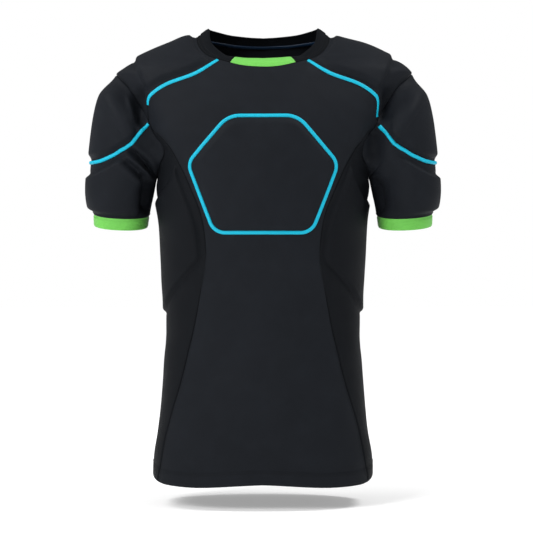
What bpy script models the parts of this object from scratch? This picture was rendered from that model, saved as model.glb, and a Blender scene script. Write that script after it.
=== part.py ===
"""Padded rugby vest with short sleeves, in the hollow form that it has when it is worn.

Metres, +Z up. The front faces -Y and the wearer's left side is at +X. The origin is midway between
the two points where the collar crosses the shoulders, which is where the wearer carries the vest.
Every cloth panel is a thin wall on one torso form or one sleeve form, cut along the seam lines, with
its foam pads raised outside.
"""

import math

import bmesh
import bpy
import numpy as np

# Cloth and trim
CLOTH = 0.0016
COLLAR_CLOTH = 0.0022
ELASTIC = 0.0018
SEAM_GAP = 0.0003
PIPING_WIDTH = 0.0056
PIPING_LIFT = 0.0005
SLEEVE_PIPING_LIFT = 0.0014
PIPING_HEIGHT = 0.0012
PIPING_PROFILE = ((-0.5, 0.0), (-0.42, 0.75), (0.0, 1.0), (0.42, 0.75), (0.5, 0.0))
CUFF_WIDTH = 0.0180

# Foam pads
CHEST_PAD = 0.0050
SHOULDER_PAD = 0.0070
SLEEVE_PAD = 0.0060
LOWER_SLEEVE_PAD = 0.0075
RIB_PAD = 0.0060

SIDES = {"left": 1.0, "right": -1.0}

# Torso sections: height, half width, front depth, back depth, front roundness, back roundness
TORSO = np.array(
    [
        (-0.710, 0.1695, 0.1120, 0.1130, 2.40, 2.30),
        (-0.655, 0.1695, 0.1125, 0.1130, 2.40, 2.30),
        (-0.610, 0.1635, 0.1120, 0.1105, 2.40, 2.30),
        (-0.560, 0.1575, 0.1100, 0.1065, 2.40, 2.30),
        (-0.500, 0.1535, 0.1075, 0.1015, 2.40, 2.30),
        (-0.455, 0.1500, 0.1055, 0.0985, 2.40, 2.30),
        (-0.410, 0.1500, 0.1060, 0.0990, 2.40, 2.30),
        (-0.370, 0.1515, 0.1080, 0.1005, 2.40, 2.30),
        (-0.300, 0.1555, 0.1125, 0.1060, 2.35, 2.30),
        (-0.250, 0.1608, 0.1155, 0.1095, 2.30, 2.30),
        (-0.212, 0.1660, 0.1170, 0.1110, 2.30, 2.30),
        (-0.190, 0.1770, 0.1168, 0.1115, 2.30, 2.30),
        (-0.150, 0.2110, 0.1140, 0.1110, 2.30, 2.25),
        (-0.108, 0.2225, 0.1060, 0.1060, 2.30, 2.15),
        (-0.080, 0.2265, 0.0970, 0.1000, 2.30, 1.95),
        (-0.059, 0.2280, 0.0890, 0.0940, 2.25, 1.80),
        (-0.048, 0.2150, 0.0800, 0.0900, 2.20, 1.75),
        (-0.036, 0.1930, 0.0620, 0.0860, 2.20, 1.75),
        (-0.019, 0.1560, 0.0370, 0.0780, 2.15, 1.75),
        (-0.008, 0.1250, 0.0210, 0.0700, 2.10, 1.80),
        (0.000, 0.1020, 0.0120, 0.0540, 2.00, 1.80),
        (0.010, 0.0700, 0.0060, 0.0300, 2.00, 1.80),
    ]
)

# Armhole, from the shoulder's top round the front and back:
# angle, height, turn round the torso, crease depth
ARMHOLE = np.array(
    [
        (0, -0.059, 0, 0.0005),
        (30, -0.077, 22, 0.0030),
        (60, -0.104, 30, 0.0080),
        (90, -0.134, 35, 0.0125),
        (120, -0.163, 35, 0.0120),
        (150, -0.192, 28, 0.0080),
        (180, -0.212, 0, 0.0020),
        (210, -0.192, -26, 0.0040),
        (240, -0.163, -34, 0.0060),
        (270, -0.134, -35, 0.0060),
        (300, -0.104, -29, 0.0040),
        (330, -0.077, -20, 0.0020),
    ]
)
CREASE_WIDTH = 0.024
SEAM_TURN = 0.015

# Sleeve rings below the armhole: outer x, outer z, inner x, inner z, half depth, forward tilt in degrees
SLEEVE = np.array(
    [
        (0.2415, -0.080, 0.1660, -0.216, 0.0715, 0),
        (0.2510, -0.099, 0.1675, -0.219, 0.0695, 0),
        (0.2575, -0.126, 0.1690, -0.223, 0.0660, 1),
        (0.2625, -0.160, 0.1705, -0.229, 0.0620, 2),
        (0.2665, -0.194, 0.1720, -0.237, 0.0595, 4),
        (0.2685, -0.226, 0.1735, -0.249, 0.0575, 6),
        (0.2675, -0.252, 0.1750, -0.263, 0.0550, 8),
        (0.2630, -0.273, 0.1760, -0.277, 0.0495, 10),
    ]
)
SLEEVE_ROUNDNESS = 2.2
SLEEVE_BACK_SHIFT = 0.001

# Drag folds on a sleeve's front, below the armpit: start angle, start, end angle, end, width, depth
SLEEVE_FOLDS = (
    (70, 0.62, 128, 0.42, 0.0055, 0.0024),
    (84, 0.76, 140, 0.58, 0.0060, 0.0020),
)

# Neckline in plan and the collar's upper edge: half width, front reach and back reach
NECK_SEAM_PLAN = (0.1020, 0.0860, 0.0720)
COLLAR_TOP_PLAN = (0.0850, 0.0715, 0.0620)
NECK_FRONT_ROUNDNESS = 2.25
NECK_BACK_ROUNDNESS = 2.0
# Height of the collar's upper edge: angle from the front, height
COLLAR_TOP = np.array(
    [
        (0, -0.0400),
        (35, -0.0360),
        (48, -0.0270),
        (66, -0.0130),
        (90, 0.0140),
        (120, 0.0120),
        (150, 0.0080),
        (180, 0.0055),
    ]
)

# Hem: angle round the torso from the side, front positive, and height
HEM = np.array(
    [
        (-90, -0.7030),
        (-60, -0.7020),
        (-25, -0.6945),
        (0, -0.6755),
        (16, -0.6820),
        (32, -0.6865),
        (55, -0.6880),
        (90, -0.6825),
    ]
)

# Seam lines on the wearer's left half: x, z
FRONT_SIDE_SEAM = np.array(
    [
        (0.1470, -0.6110),
        (0.1180, -0.5080),
        (0.0935, -0.3960),
        (0.0845, -0.3430),
        (0.0885, -0.2970),
        (0.1120, -0.2310),
        (0.1400, -0.1810),
    ]
)
HEM_SEAM_X = 0.1600
BACK_SIDE_SEAM = np.array(
    [
        (0.1470, -0.6110),
        (0.1220, -0.5080),
        (0.1020, -0.3960),
        (0.0970, -0.3430),
        (0.1010, -0.2970),
        (0.1180, -0.2310),
        (0.1440, -0.1810),
    ]
)
SIDE_SEAM_ANGLE = 106
SHOULDER_SEAM_ANGLE = 91
FRONT_SHOULDER_SEAM = np.array([(0.1010, -0.0640), (0.1440, -0.0795), (0.1680, -0.0940), (0.1770, -0.1060)])
BACK_SHOULDER_SEAM = np.array([(0.1100, -0.0330), (0.1500, -0.0600), (0.1740, -0.0880), (0.1830, -0.1060)])

# Where neighbouring panels share their points:
# heights on the side seams, and angles on the neck and armhole
SEAM_HEIGHTS = np.array(
    [-0.640, -0.575, -0.510, -0.455, -0.405, -0.363, -0.350, -0.337, -0.324]
    + [-0.302, -0.278, -0.256, -0.238, -0.223, -0.209, -0.195, -0.181, -0.168, -0.159]
)
NECK_TAB_ANGLE = 27.0
NECK_FRONT = np.array([0, 9, 18, NECK_TAB_ANGLE, 38])
SHOULDER_SHARES = np.array(
    [0, 0.03, 0.06, 0.09, 0.13, 0.19, 0.27, 0.35, 0.43, 0.50]
    + [0.57, 0.65, 0.73, 0.81, 0.87, 0.91, 0.94, 0.97, 1]
)
NECK_SHOULDER = 38 + 94 * SHOULDER_SHARES
NECK_BACK = np.linspace(132, 180, 5)
ARM_SHOULDER = SHOULDER_SEAM_ANGLE * (1 - 2 * SHOULDER_SHARES)
ARM_SIDE = np.linspace(SIDE_SEAM_ANGLE, 360 - SIDE_SEAM_ANGLE, 15)
SLEEVE_SEAM_ANGLE = 94
ARM_CORNER = np.array([SLEEVE_SEAM_ANGLE, 100])
ARM_UNDER = np.concatenate([ARM_CORNER, ARM_SIDE, 360 - ARM_CORNER[::-1]])
SHOULDER_STEPS = 9
SEAM_TRIM = 0.035
CUFF_TURN = 126
UPPER_SLEEVE_SHARES = np.array([0, 0.05, 0.12, 0.25, 0.42, 0.60, 0.78, 0.88, 0.94, 1])
LOWER_SLEEVE_SHARES = np.array([0, 0.06, 0.14, 0.24, 0.40, 0.58, 0.76, 0.88, 0.95, 1])

# Sleeve seam from the outside of the arm to the armhole: angle, share of the sleeve's length
SLEEVE_SEAM = np.array(
    [
        (0, 0.630),
        (30, 0.615),
        (57, 0.572),
        (79, 0.485),
        (92, 0.370),
        (100, 0.240),
        (102, 0.130),
        (98, 0.055),
        (94, 0.0),
    ]
)

# Chest pad corners on the wearer's left half, top to bottom: x, z, corner radius
CHEST_HEX = ((0.0520, -0.1300, 0.040), (0.1130, -0.2010, 0.022), (0.0730, -0.3050, 0.024))

# Where the rib pad ends: height at its front and back edges, and how far lower it points at the side
RIB_PAD_CORNER = -0.338
RIB_PAD_POINT = 0.088


def table_curve(table, at):
    """Reads a table at many places, with a smooth curve that never overshoots a row.

    Column 0 is the place.
    """
    places = table[:, 0]
    values = table[:, 1:]
    step = np.diff(places)[:, None]
    rise = np.diff(values, axis=0) / step
    same_way = rise[:-1] * rise[1:] > 0
    safe = np.where(same_way, rise[:-1] + rise[1:], 1.0)
    slope = np.zeros_like(values)
    slope[1:-1] = np.where(same_way, 2 * rise[:-1] * rise[1:] / safe, 0.0)
    slope[0] = rise[0]
    slope[-1] = rise[-1]
    at = np.clip(np.asarray(at, float), places[0], places[-1])
    row = np.clip(np.searchsorted(places, at, "right") - 1, 0, len(places) - 2)
    width = step[row, 0][..., None]
    t = ((at - places[row]) / step[row, 0])[..., None]
    start = (1 + 2 * t) * (1 - t) ** 2 * values[row] + t * (1 - t) ** 2 * width * slope[row]
    end = t * t * (3 - 2 * t) * values[row + 1] + t * t * (t - 1) * width * slope[row + 1]
    return start + end


def spline(knots, at, closed=False):
    """A Catmull-Rom curve through knots, at places counted in knots."""
    knots = np.asarray(knots, float)
    count = len(knots)
    at = np.asarray(at, float)
    if closed:
        row = np.floor(at).astype(int)
        before, first, second, after = (knots[(row + k) % count] for k in (-1, 0, 1, 2))
    else:
        row = np.clip(np.floor(at).astype(int), 0, count - 2)
        padded = np.concatenate([[2 * knots[0] - knots[1]], knots, [2 * knots[-1] - knots[-2]]])
        before, first, second, after = (padded[row + k] for k in (0, 1, 2, 3))
    t = (at - row).reshape(at.shape + (1,) * (knots.ndim - 1))
    cubic = 3 * (first - second) + after - before
    square = 2 * before - 5 * first + 4 * second - after
    return first + 0.5 * t * (second - before + t * (square + t * cubic))


def evenly(points, count, closed=False):
    """The same line, with count points the same distance apart along it."""
    line = np.concatenate([points, points[:1]]) if closed else points
    run = np.concatenate([[0], np.cumsum(np.linalg.norm(np.diff(line, axis=0), axis=1))])
    wanted = np.linspace(0, run[-1], count + 1)[:-1] if closed else np.linspace(0, run[-1], count)
    return np.stack([np.interp(wanted, run, line[:, k]) for k in range(line.shape[1])], axis=1)


def ramp(value, low, high):
    """0 below low, 1 above high and a soft step between."""
    t = np.clip((np.asarray(value, float) - low) / (high - low), 0, 1)
    return t * t * (3 - 2 * t)


def unit(vectors):
    return vectors / np.linalg.norm(vectors, axis=-1, keepdims=True)


def mirrored(points, side):
    return points * np.array([side, 1.0, 1.0])


def torso_sizes(z):
    return np.moveaxis(table_curve(TORSO, z), -1, 0)


def torso_around(turn, z):
    """The torso's point at a turn in radians from the wearer's left side, front positive."""
    half_width, front, back, front_power, back_power = torso_sizes(z)
    depth = np.where(turn > 0, front, back)
    power = np.where(turn > 0, front_power, back_power)
    x = half_width * np.abs(np.cos(turn)) ** (2 / power)
    y = -np.sign(turn) * depth * np.abs(np.sin(turn)) ** (2 / power)
    return np.stack([x, y, z + 0 * x], axis=-1)


def torso_turn(x, z, face):
    """The turn at which the torso's front (face 1) or back (face -1) has this x."""
    half_width, front, back, front_power, back_power = torso_sizes(z)
    power = np.where(face > 0, front_power, back_power)
    share = np.clip(np.abs(x) / half_width, 0, 1)
    return face * np.arccos(share ** (power / 2))


def torso_face(x, z, face):
    points = torso_around(torso_turn(x, z, face), z)
    points[..., 0] = x
    return points


def torso_level(points):
    """Below 0 inside the torso form, 0 on it and above 0 outside."""
    half_width, front, back, front_power, back_power = torso_sizes(points[..., 2])
    is_front = points[..., 1] < 0
    power = np.where(is_front, front_power, back_power)
    across = np.abs(points[..., 0]) / half_width
    deep = np.abs(points[..., 1]) / np.where(is_front, front, back)
    return across**power + deep**power - 1


def torso_slope(points, step=2e-5):
    """How fast the level rises along each axis."""
    moves = np.eye(3) * step
    rises = [torso_level(points + move) - torso_level(points - move) for move in moves]
    return np.stack(rises, axis=-1) / (2 * step)


def torso_normal(points):
    """Outward normals, taken over a few millimetres so that they turn softly over the shoulder's end."""
    return unit(torso_slope(points, step=5e-3))


def onto_torso(points):
    """Moves points to the torso form."""
    for _ in range(14):
        slope = torso_slope(points)
        points = points - slope * (torso_level(points) / (slope**2).sum(-1))[..., None]
    return points


def shoulder_height(x, y):
    """The torso's height above a point of the plan, by halving."""
    low = np.full(np.shape(x), -0.11)
    high = np.full(np.shape(x), 0.009)
    for _ in range(40):
        middle = (low + high) / 2
        inside = torso_level(np.stack([x, y, middle], axis=-1)) < 0
        low = np.where(inside, middle, low)
        high = np.where(inside, high, middle)
    return (low + high) / 2


def armhole(angle):
    """The armhole before its crease, with the torso's normals and the crease's depth. Angles in degrees."""
    rows = spline(ARMHOLE[:, 1:], np.asarray(angle, float) / 30, closed=True)
    height, turn, depth = np.moveaxis(rows, -1, 0)
    points = torso_around(np.radians(turn), height)
    return points, torso_normal(points), depth


def sleeve_ring(row, angle):
    """One of the sleeve's rings below the armhole."""
    outer_x, outer_z, inner_x, inner_z, half_depth, tilt = SLEEVE[row]
    along = np.sign(np.cos(angle)) * np.abs(np.cos(angle)) ** (2 / SLEEVE_ROUNDNESS)
    across = -np.sign(np.sin(angle)) * np.abs(np.sin(angle)) ** (2 / SLEEVE_ROUNDNESS)
    x = (outer_x + inner_x) / 2 + along * (outer_x - inner_x) / 2
    y = half_depth * across
    z = (outer_z + inner_z) / 2 + along * (outer_z - inner_z) / 2 + y * math.tan(math.radians(tilt))
    return np.stack([x, y + SLEEVE_BACK_SHIFT, z], axis=-1)


def sleeve_form(angle, share):
    """The wearer's left sleeve.

    Angles are in degrees from the outside of the arm round the front, and shares are of its length from
    the armhole to the cuff.
    """
    seam, normals, depth = armhole(angle)
    rings = [seam - normals * depth[..., None]]
    rings += [sleeve_ring(row, np.radians(angle)) for row in range(len(SLEEVE))]
    rings = np.stack(rings)
    flat = rings.reshape(len(rings), -1, 3)
    place = np.asarray(share, float).reshape(-1) * (len(rings) - 1)
    each = np.arange(flat.shape[1])
    row = np.clip(np.floor(place).astype(int), 0, len(rings) - 2)
    before = flat[np.clip(row - 1, 0, None), each]
    after = flat[np.clip(row + 2, None, len(rings) - 1), each]
    first, second = flat[row, each], flat[row + 1, each]
    t = (place - row)[:, None]
    cubic = 3 * (first - second) + after - before
    square = 2 * before - 5 * first + 4 * second - after
    points = first + 0.5 * t * (second - before + t * (square + t * cubic))
    return points.reshape(rings.shape[1:])


def sleeve_normal(angle, share):
    round_it = sleeve_form(angle + 0.4, share) - sleeve_form(angle - 0.4, share)
    above, below = (np.clip(share + step, 0, 1) for step in (-0.004, 0.004))
    down = sleeve_form(angle, below) - sleeve_form(angle, above)
    return unit(np.cross(round_it, down))


def armhole_facing(angle):
    """The way the cloth faces on the armhole seam, halfway between the torso's side and the sleeve's."""
    angle = np.asarray(angle, float)
    _, torso_side, _ = armhole(angle)
    return unit(torso_side + sleeve_normal(angle, np.full(angle.shape, 0.03)))


def sleeve_surface(angle, share):
    """Points and outward normals of the left sleeve with its folds."""
    angle = np.asarray(angle, float)
    share = np.asarray(share, float)
    points = sleeve_form(angle, share)
    near = ramp(share, 0.0, 0.08)[..., None]
    normals = unit(armhole_facing(angle) * (1 - near) + sleeve_normal(angle, share) * near)
    for start_angle, start, end_angle, end, width, depth in SLEEVE_FOLDS:
        ends = sleeve_form(np.array([start_angle, end_angle], float), np.array([start, end]))
        run = ends[1] - ends[0]
        along = ((points - ends[0]) @ run / (run @ run)).clip(0, 1)
        off = np.linalg.norm(points - ends[0] - along[..., None] * run, axis=-1)
        fade = np.sin(np.pi * (0.1 + 0.8 * along))
        points = points - normals * (depth * fade * np.exp(-((off / width) ** 2)))[..., None]
    return points, normals


ARMHOLE_ANGLES = np.arange(0.0, 360.0)
ARMHOLE_LINE, _, ARMHOLE_CREASE = armhole(ARMHOLE_ANGLES)
ARMHOLE_FACING = armhole_facing(ARMHOLE_ANGLES)


def creased(points):
    """Sinks the torso's cloth into the crease round each armhole, and gives the way that it faces too."""
    normals = torso_normal(points)
    flat = points.reshape(-1, 3)
    half = np.where(flat[:, :1] < 0, -1.0, 1.0) * (1, 0, 0) + (0, 1, 1)
    distance = np.linalg.norm((flat * half)[:, None] - ARMHOLE_LINE[None], axis=2)
    nearest = distance.argmin(axis=1)
    distance = distance.min(axis=1)
    sink = ARMHOLE_CREASE[nearest] * np.exp(-((distance / CREASE_WIDTH) ** 2))
    turned = np.exp(-((distance / SEAM_TURN) ** 2)).reshape(points.shape[:-1] + (1,))
    seam_facing = (ARMHOLE_FACING[nearest] * half).reshape(points.shape)
    facing = unit(normals * (1 - turned) + seam_facing * turned)
    return points - normals * sink.reshape(points.shape[:-1] + (1,)), facing


def neck_seam(angle):
    """The neckline at angles in degrees from the front centre, on the wearer's left."""
    half_width, front, back = NECK_SEAM_PLAN
    x, y = plan_loop(angle, half_width, front, back)
    return np.stack([x, y, shoulder_height(x, y)], axis=-1)


def collar_edge(angle):
    x, y = plan_loop(angle, *COLLAR_TOP_PLAN)
    folded = 180 - np.abs(180 - np.mod(angle, 360))
    return np.stack([x, y, table_curve(COLLAR_TOP, folded)[..., 0]], axis=-1)


def plan_loop(angle, half_width, front, back):
    """A neck loop in plan, fuller in front than behind."""
    turn = np.radians(np.asarray(angle, float))
    is_front = np.cos(turn) > 0
    power = 2 / np.where(is_front, NECK_FRONT_ROUNDNESS, NECK_BACK_ROUNDNESS)
    x = half_width * np.sign(np.sin(turn)) * np.abs(np.sin(turn)) ** power
    y = -np.where(is_front, front, back) * np.sign(np.cos(turn)) * np.abs(np.cos(turn)) ** power
    return x, y


def hem_height(turn):
    return table_curve(HEM, np.degrees(turn))[..., 0]


def coons(bottom, top, left, right):
    """Fills a four-sided outline. bottom and top run left to right, left and right run bottom to top."""
    u = np.linspace(0, 1, len(bottom))[None, :, None]
    v = np.linspace(0, 1, len(left))[:, None, None]
    between = (1 - v) * bottom[None] + v * top[None] + (1 - u) * left[:, None] + u * right[:, None]
    corners = (1 - u) * (1 - v) * bottom[0] + u * (1 - v) * bottom[-1]
    return between - corners - (1 - u) * v * top[0] - u * v * top[-1]


def inward(edge, next_row):
    """Unit moves from an edge into its panel, square to the edge."""
    along = unit(np.gradient(edge, axis=0))
    moves = next_row - edge
    return unit(moves - (moves * along).sum(-1, keepdims=True) * along)


def pulled_in(grid, sides="btlr", gap=SEAM_GAP / 2):
    """Moves a panel's edge points into it by half a seam's gap, on the bottom, top, left or right."""
    grid = grid.copy()
    edges = {
        "b": (grid[0], grid[1]),
        "t": (grid[-1], grid[-2]),
        "l": (grid[:, 0], grid[:, 1]),
        "r": (grid[:, -1], grid[:, -2]),
    }
    moves = {side: gap * inward(*edges[side]) for side in sides}
    for side in sides:
        edges[side][0][...] += moves[side]
    return grid


def material(name, colour, roughness):
    made = bpy.data.materials.new(name)
    made.use_nodes = True
    shader = made.node_tree.nodes["Principled BSDF"]
    shader.inputs["Base Color"].default_value = (*colour, 1.0)
    shader.inputs["Roughness"].default_value = roughness
    shader.inputs["Metallic"].default_value = 0.0
    return made


def add_object(name, points, faces, finish, collection):
    """A closed mesh object with its faces pointing out."""
    mesh = bpy.data.meshes.new(name)
    mesh.from_pydata([tuple(p) for p in points], [], faces)
    work = bmesh.new()
    work.from_mesh(mesh)
    bmesh.ops.recalc_face_normals(work, faces=work.faces)
    work.to_mesh(mesh)
    work.free()
    mesh.materials.append(finish)
    mesh.shade_smooth()
    mesh.set_sharp_from_angle(angle=math.radians(40))
    made = bpy.data.objects.new(name, mesh)
    collection.objects.link(made)
    return made


def grid_faces(rows, columns, closed):
    """The quads of one grid, and the same for its rim, as pairs of corner numbers along the edge."""
    last = columns if closed else columns - 1
    quads = []
    for row in range(rows - 1):
        near = row * columns
        far = near + columns
        for c in range(last):
            after = (c + 1) % columns
            quads.append((near + c, near + after, far + after, far + c))
    rim = [(c, (c + 1) % columns) for c in range(last)]
    rim += [((rows - 1) * columns + (c + 1) % columns, (rows - 1) * columns + c) for c in range(last)]
    if not closed:
        rim += [((r + 1) * columns, r * columns) for r in range(rows - 1)]
        rim += [(r * columns + columns - 1, (r + 1) * columns + columns - 1) for r in range(rows - 1)]
    return quads, rim


def add_wall(name, points, normals, finish, collection, raised=0.0, thickness=CLOTH, closed=False):
    """A cloth wall, plain inside and raised over the pads outside."""
    rows, columns = points.shape[:2]
    raised = np.broadcast_to(raised, (rows, columns))[..., None]
    outside = (points + normals * raised).reshape(-1, 3)
    inside = (points - normals * thickness).reshape(-1, 3)
    quads, rim = grid_faces(rows, columns, closed)
    total = rows * columns
    faces = quads + [tuple(total + k for k in reversed(q)) for q in quads]
    faces += [(b, a, a + total, b + total) for a, b in rim]
    return add_object(name, np.concatenate([outside, inside]), faces, finish, collection)


def strip_sides(line, normals, closed):
    """The direction across a line on a surface, at each of its points."""
    ahead = np.roll(line, -1, axis=0) - np.roll(line, 1, axis=0)
    if not closed:
        ahead[0] = line[1] - line[0]
        ahead[-1] = line[-1] - line[-2]
    return unit(np.cross(normals, ahead))


def add_strip(name, line, normals, finish, collection, closed=False, settle=None, lift=PIPING_LIFT):
    """A crowned strip of piping along a line. settle puts the points across it onto a curved surface."""
    across = strip_sides(line, normals, closed) * PIPING_WIDTH
    loops = []
    for side, up in PIPING_PROFILE:
        points = line + across * side
        facing = normals
        if settle:
            points, facing = settle(points)
        loops.append(points + facing * (lift + PIPING_HEIGHT * up))
    points = np.stack(loops, axis=1).reshape(-1, 3)
    count = len(line)
    corners = len(loops)
    faces = []
    for step in range(count if closed else count - 1):
        near = step * corners
        far = (step + 1) % count * corners
        for k in range(corners):
            after = (k + 1) % corners
            faces.append((near + k, near + after, far + after, far + k))
    if not closed:
        faces += [tuple(range(corners)), tuple(reversed(range((count - 1) * corners, count * corners)))]
    return add_object(name, points, faces, finish, collection)


def side_seam_line(face):
    """A side seam on the torso, from the hem to the armhole, as x and z."""
    knots = FRONT_SIDE_SEAM if face > 0 else BACK_SIDE_SEAM
    start = (HEM_SEAM_X, float(hem_height(torso_turn(HEM_SEAM_X, -0.690, face))))
    end, _, _ = armhole(face * SIDE_SEAM_ANGLE)
    knots = np.concatenate([[start], knots, [end[[0, 2]]]])
    heights = np.concatenate([knots[:1, 1], SEAM_HEIGHTS, knots[-1:, 1]])
    return np.stack([table_curve(knots[:, ::-1], heights)[:, 0], heights], axis=1)


def shoulder_seam_line(face):
    """A shoulder seam on the torso, from the neckline to the armhole, as x and z."""
    knots = FRONT_SHOULDER_SEAM if face > 0 else BACK_SHOULDER_SEAM
    start = neck_seam(NECK_SHOULDER[0] if face > 0 else NECK_SHOULDER[-1])
    end, _, _ = armhole(face * SHOULDER_SEAM_ANGLE)
    knots = np.concatenate([[start[[0, 2]]], knots, [end[[0, 2]]]])
    return spline(knots, np.linspace(0, len(knots) - 1, SHOULDER_STEPS))


def centre_panel_grid(face):
    """The front or back panel between its side seams, from one side to the other, bottom to top."""
    corner, _, _ = armhole(face * np.array([ARM_CORNER[1], SHOULDER_SEAM_ANGLE]))
    edge = np.concatenate([side_seam_line(face), corner[:, [0, 2]]])
    neck = neck_seam(NECK_FRONT if face > 0 else NECK_BACK[::-1])[:, [0, 2]]
    top = np.concatenate([neck, shoulder_seam_line(face)[1:]])
    hem_x = np.linspace(0, edge[0, 0], len(top))
    hem = np.stack([hem_x, hem_height(torso_turn(hem_x, -0.690, face))], axis=1)
    share = (edge[:, 1] - edge[0, 1]) / (edge[-1, 1] - edge[0, 1])
    middle = np.stack([0 * share, hem[0, 1] + share * (top[0, 1] - hem[0, 1])], axis=1)
    half = coons(hem, top, middle, edge)
    half = torso_face(half[..., 0], half[..., 1], face)
    other = mirrored(half[:, :0:-1], -1.0)
    return np.concatenate([other, half], axis=1)


def make_centre_panel(name, face, finish, collection):
    grid = pulled_in(centre_panel_grid(face), "tlr")
    points, normals = creased(grid)
    add_wall(name, points, normals, finish, collection)


def side_panel_grid():
    """The left side panel from front seam to back seam. Its rows dip to the side as the rib pad does."""
    front = side_seam_line(1)
    back = side_seam_line(-1)
    u = np.linspace(0, 1, len(ARM_SIDE))
    dip = 1 - np.abs(2 * u - 1) ** 1.25
    turn_front = torso_turn(front[:, 0], front[:, 1], 1)[:, None]
    turn_back = torso_turn(back[:, 0], back[:, 1], -1)[:, None]
    turns = turn_front * (1 - u) + turn_back * u
    heights = front[:, 1:] * (1 - u) + back[:, 1:] * u
    arm_height, arm_turn, _ = np.moveaxis(spline(ARMHOLE[:, 1:], ARM_SIDE / 30, closed=True), -1, 0)
    hem = hem_height(turns[0])
    from_hem = 1 - ramp(heights, hem.mean(), RIB_PAD_CORNER)
    lowered = heights - RIB_PAD_POINT * dip * (1 - from_hem) + (hem - heights[0]) * from_hem
    to_arm = ramp(front[:, 1], RIB_PAD_CORNER + 0.04, front[-1, 1])[:, None]
    heights = lowered + (arm_height - lowered[-1]) * to_arm
    turns = turns + (np.radians(arm_turn) - turns[-1]) * to_arm
    return torso_around(turns, heights)


def make_side_panel(side, finish, collection):
    points, normals = creased(pulled_in(side_panel_grid(), "tlr"))
    u = np.linspace(0, 1, len(ARM_SIDE))
    rise = side_seam_line(1)[:, 1]
    across = ramp(np.minimum(u, 1 - u), 0.04, 0.13)
    along = ramp(rise, RIB_PAD_CORNER - 0.012, RIB_PAD_CORNER + 0.010) * (1 - ramp(rise, -0.188, -0.163))
    raised = RIB_PAD * along[:, None] * across
    sign = SIDES[side]
    name = f"side_panel_{side}"
    add_wall(name, mirrored(points, sign), mirrored(normals, sign), finish, collection, raised)


def shoulder_grid():
    """The left shoulder panel, from the neck to the armhole, front seam to back seam."""
    front, back = (torso_face(*shoulder_seam_line(face).T, face) for face in (1, -1))
    arm, _, _ = armhole(ARM_SHOULDER)
    grid = coons(neck_seam(NECK_SHOULDER), arm, front, back)
    grid[1:-1, 1:-1] = onto_torso(grid[1:-1, 1:-1])
    return grid


def make_shoulder(side, finish, collection):
    points, normals = creased(pulled_in(shoulder_grid()))
    u = np.linspace(0, 1, len(points))
    v = SHOULDER_SHARES
    along = ramp(u, 0.0, 0.12) * (1 - ramp(u, 0.66, 0.80))
    raised = SHOULDER_PAD * along[:, None] * ramp(np.minimum(v, 1 - v), 0.03, 0.115)
    sign = SIDES[side]
    name = f"shoulder_{side}"
    add_wall(name, mirrored(points, sign), mirrored(normals, sign), finish, collection, raised)


def sleeve_seam_line(shares, trim):
    """The sleeve's piped seam, from the back of the armhole over the outside of the arm to the front.

    It comes as angle and share of the sleeve. trim cuts that share of the line off at each end.
    """
    half = spline(SLEEVE_SEAM, np.linspace(0, len(SLEEVE_SEAM) - 1, 240))
    line = np.concatenate([half[:0:-1] * (-1, 1), half])
    place = sleeve_form(line[:, 0], line[:, 1])
    run = np.concatenate([[0], np.cumsum(np.linalg.norm(np.diff(place, axis=0), axis=1))])
    wanted = (trim + (1 - 2 * trim) * shares) * run[-1]
    return np.stack([np.interp(wanted, run, line[:, k]) for k in (0, 1)], axis=1)


def off_armhole(points, angles):
    """How far a sleeve's first row moves, to leave the seam's gap to the torso's panels."""
    _, torso_side, _ = armhole(angles)
    return SEAM_GAP * unit(unit(points[1] - points[0]) + torso_side)


def make_upper_sleeve(side, finish, collection):
    seam = sleeve_seam_line(SHOULDER_SHARES, SEAM_TRIM)
    top = np.stack([ARM_SHOULDER[::-1], 0 * ARM_SHOULDER], axis=1)
    top[[0, -1], 0] = -SLEEVE_SEAM_ANGLE, SLEEVE_SEAM_ANGLE
    v = UPPER_SLEEVE_SHARES
    share = v[:, None, None]
    grid = top * (1 - share) + seam * share
    points, normals = sleeve_surface(grid[..., 0], grid[..., 1])
    points = pulled_in(points, "tlr")
    points[0] += off_armhole(points, grid[0, :, 0])
    points = pulled_in(points, "lr", SEAM_GAP)
    u = SHOULDER_SHARES
    along = ramp(v, 0.04, 0.36) * (1 - ramp(v, 0.86, 0.94))
    raised = SLEEVE_PAD * along[:, None] * ramp(np.minimum(u, 1 - u), 0.065, 0.20)
    sign = SIDES[side]
    name = f"sleeve_upper_{side}"
    add_wall(name, mirrored(points, sign), mirrored(normals, sign), finish, collection, raised)


def lower_sleeve_top():
    """The lower sleeve's upper edge, as angle and share: the piped seam, then the armhole below the arm."""
    seam = sleeve_seam_line(SHOULDER_SHARES, SEAM_TRIM)
    return np.concatenate([seam, np.stack([ARM_UNDER, 0 * ARM_UNDER], axis=1)])


def cuff_angles():
    """Where the lower sleeve's columns end at the cuff, in degrees."""
    outside = CUFF_TURN * (2 * SHOULDER_SHARES - 1)
    share = (180 - CUFF_TURN - 2) / (180 - SLEEVE_SEAM_ANGLE)
    return np.concatenate([outside, 180 + (ARM_UNDER - 180) * share])


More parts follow.
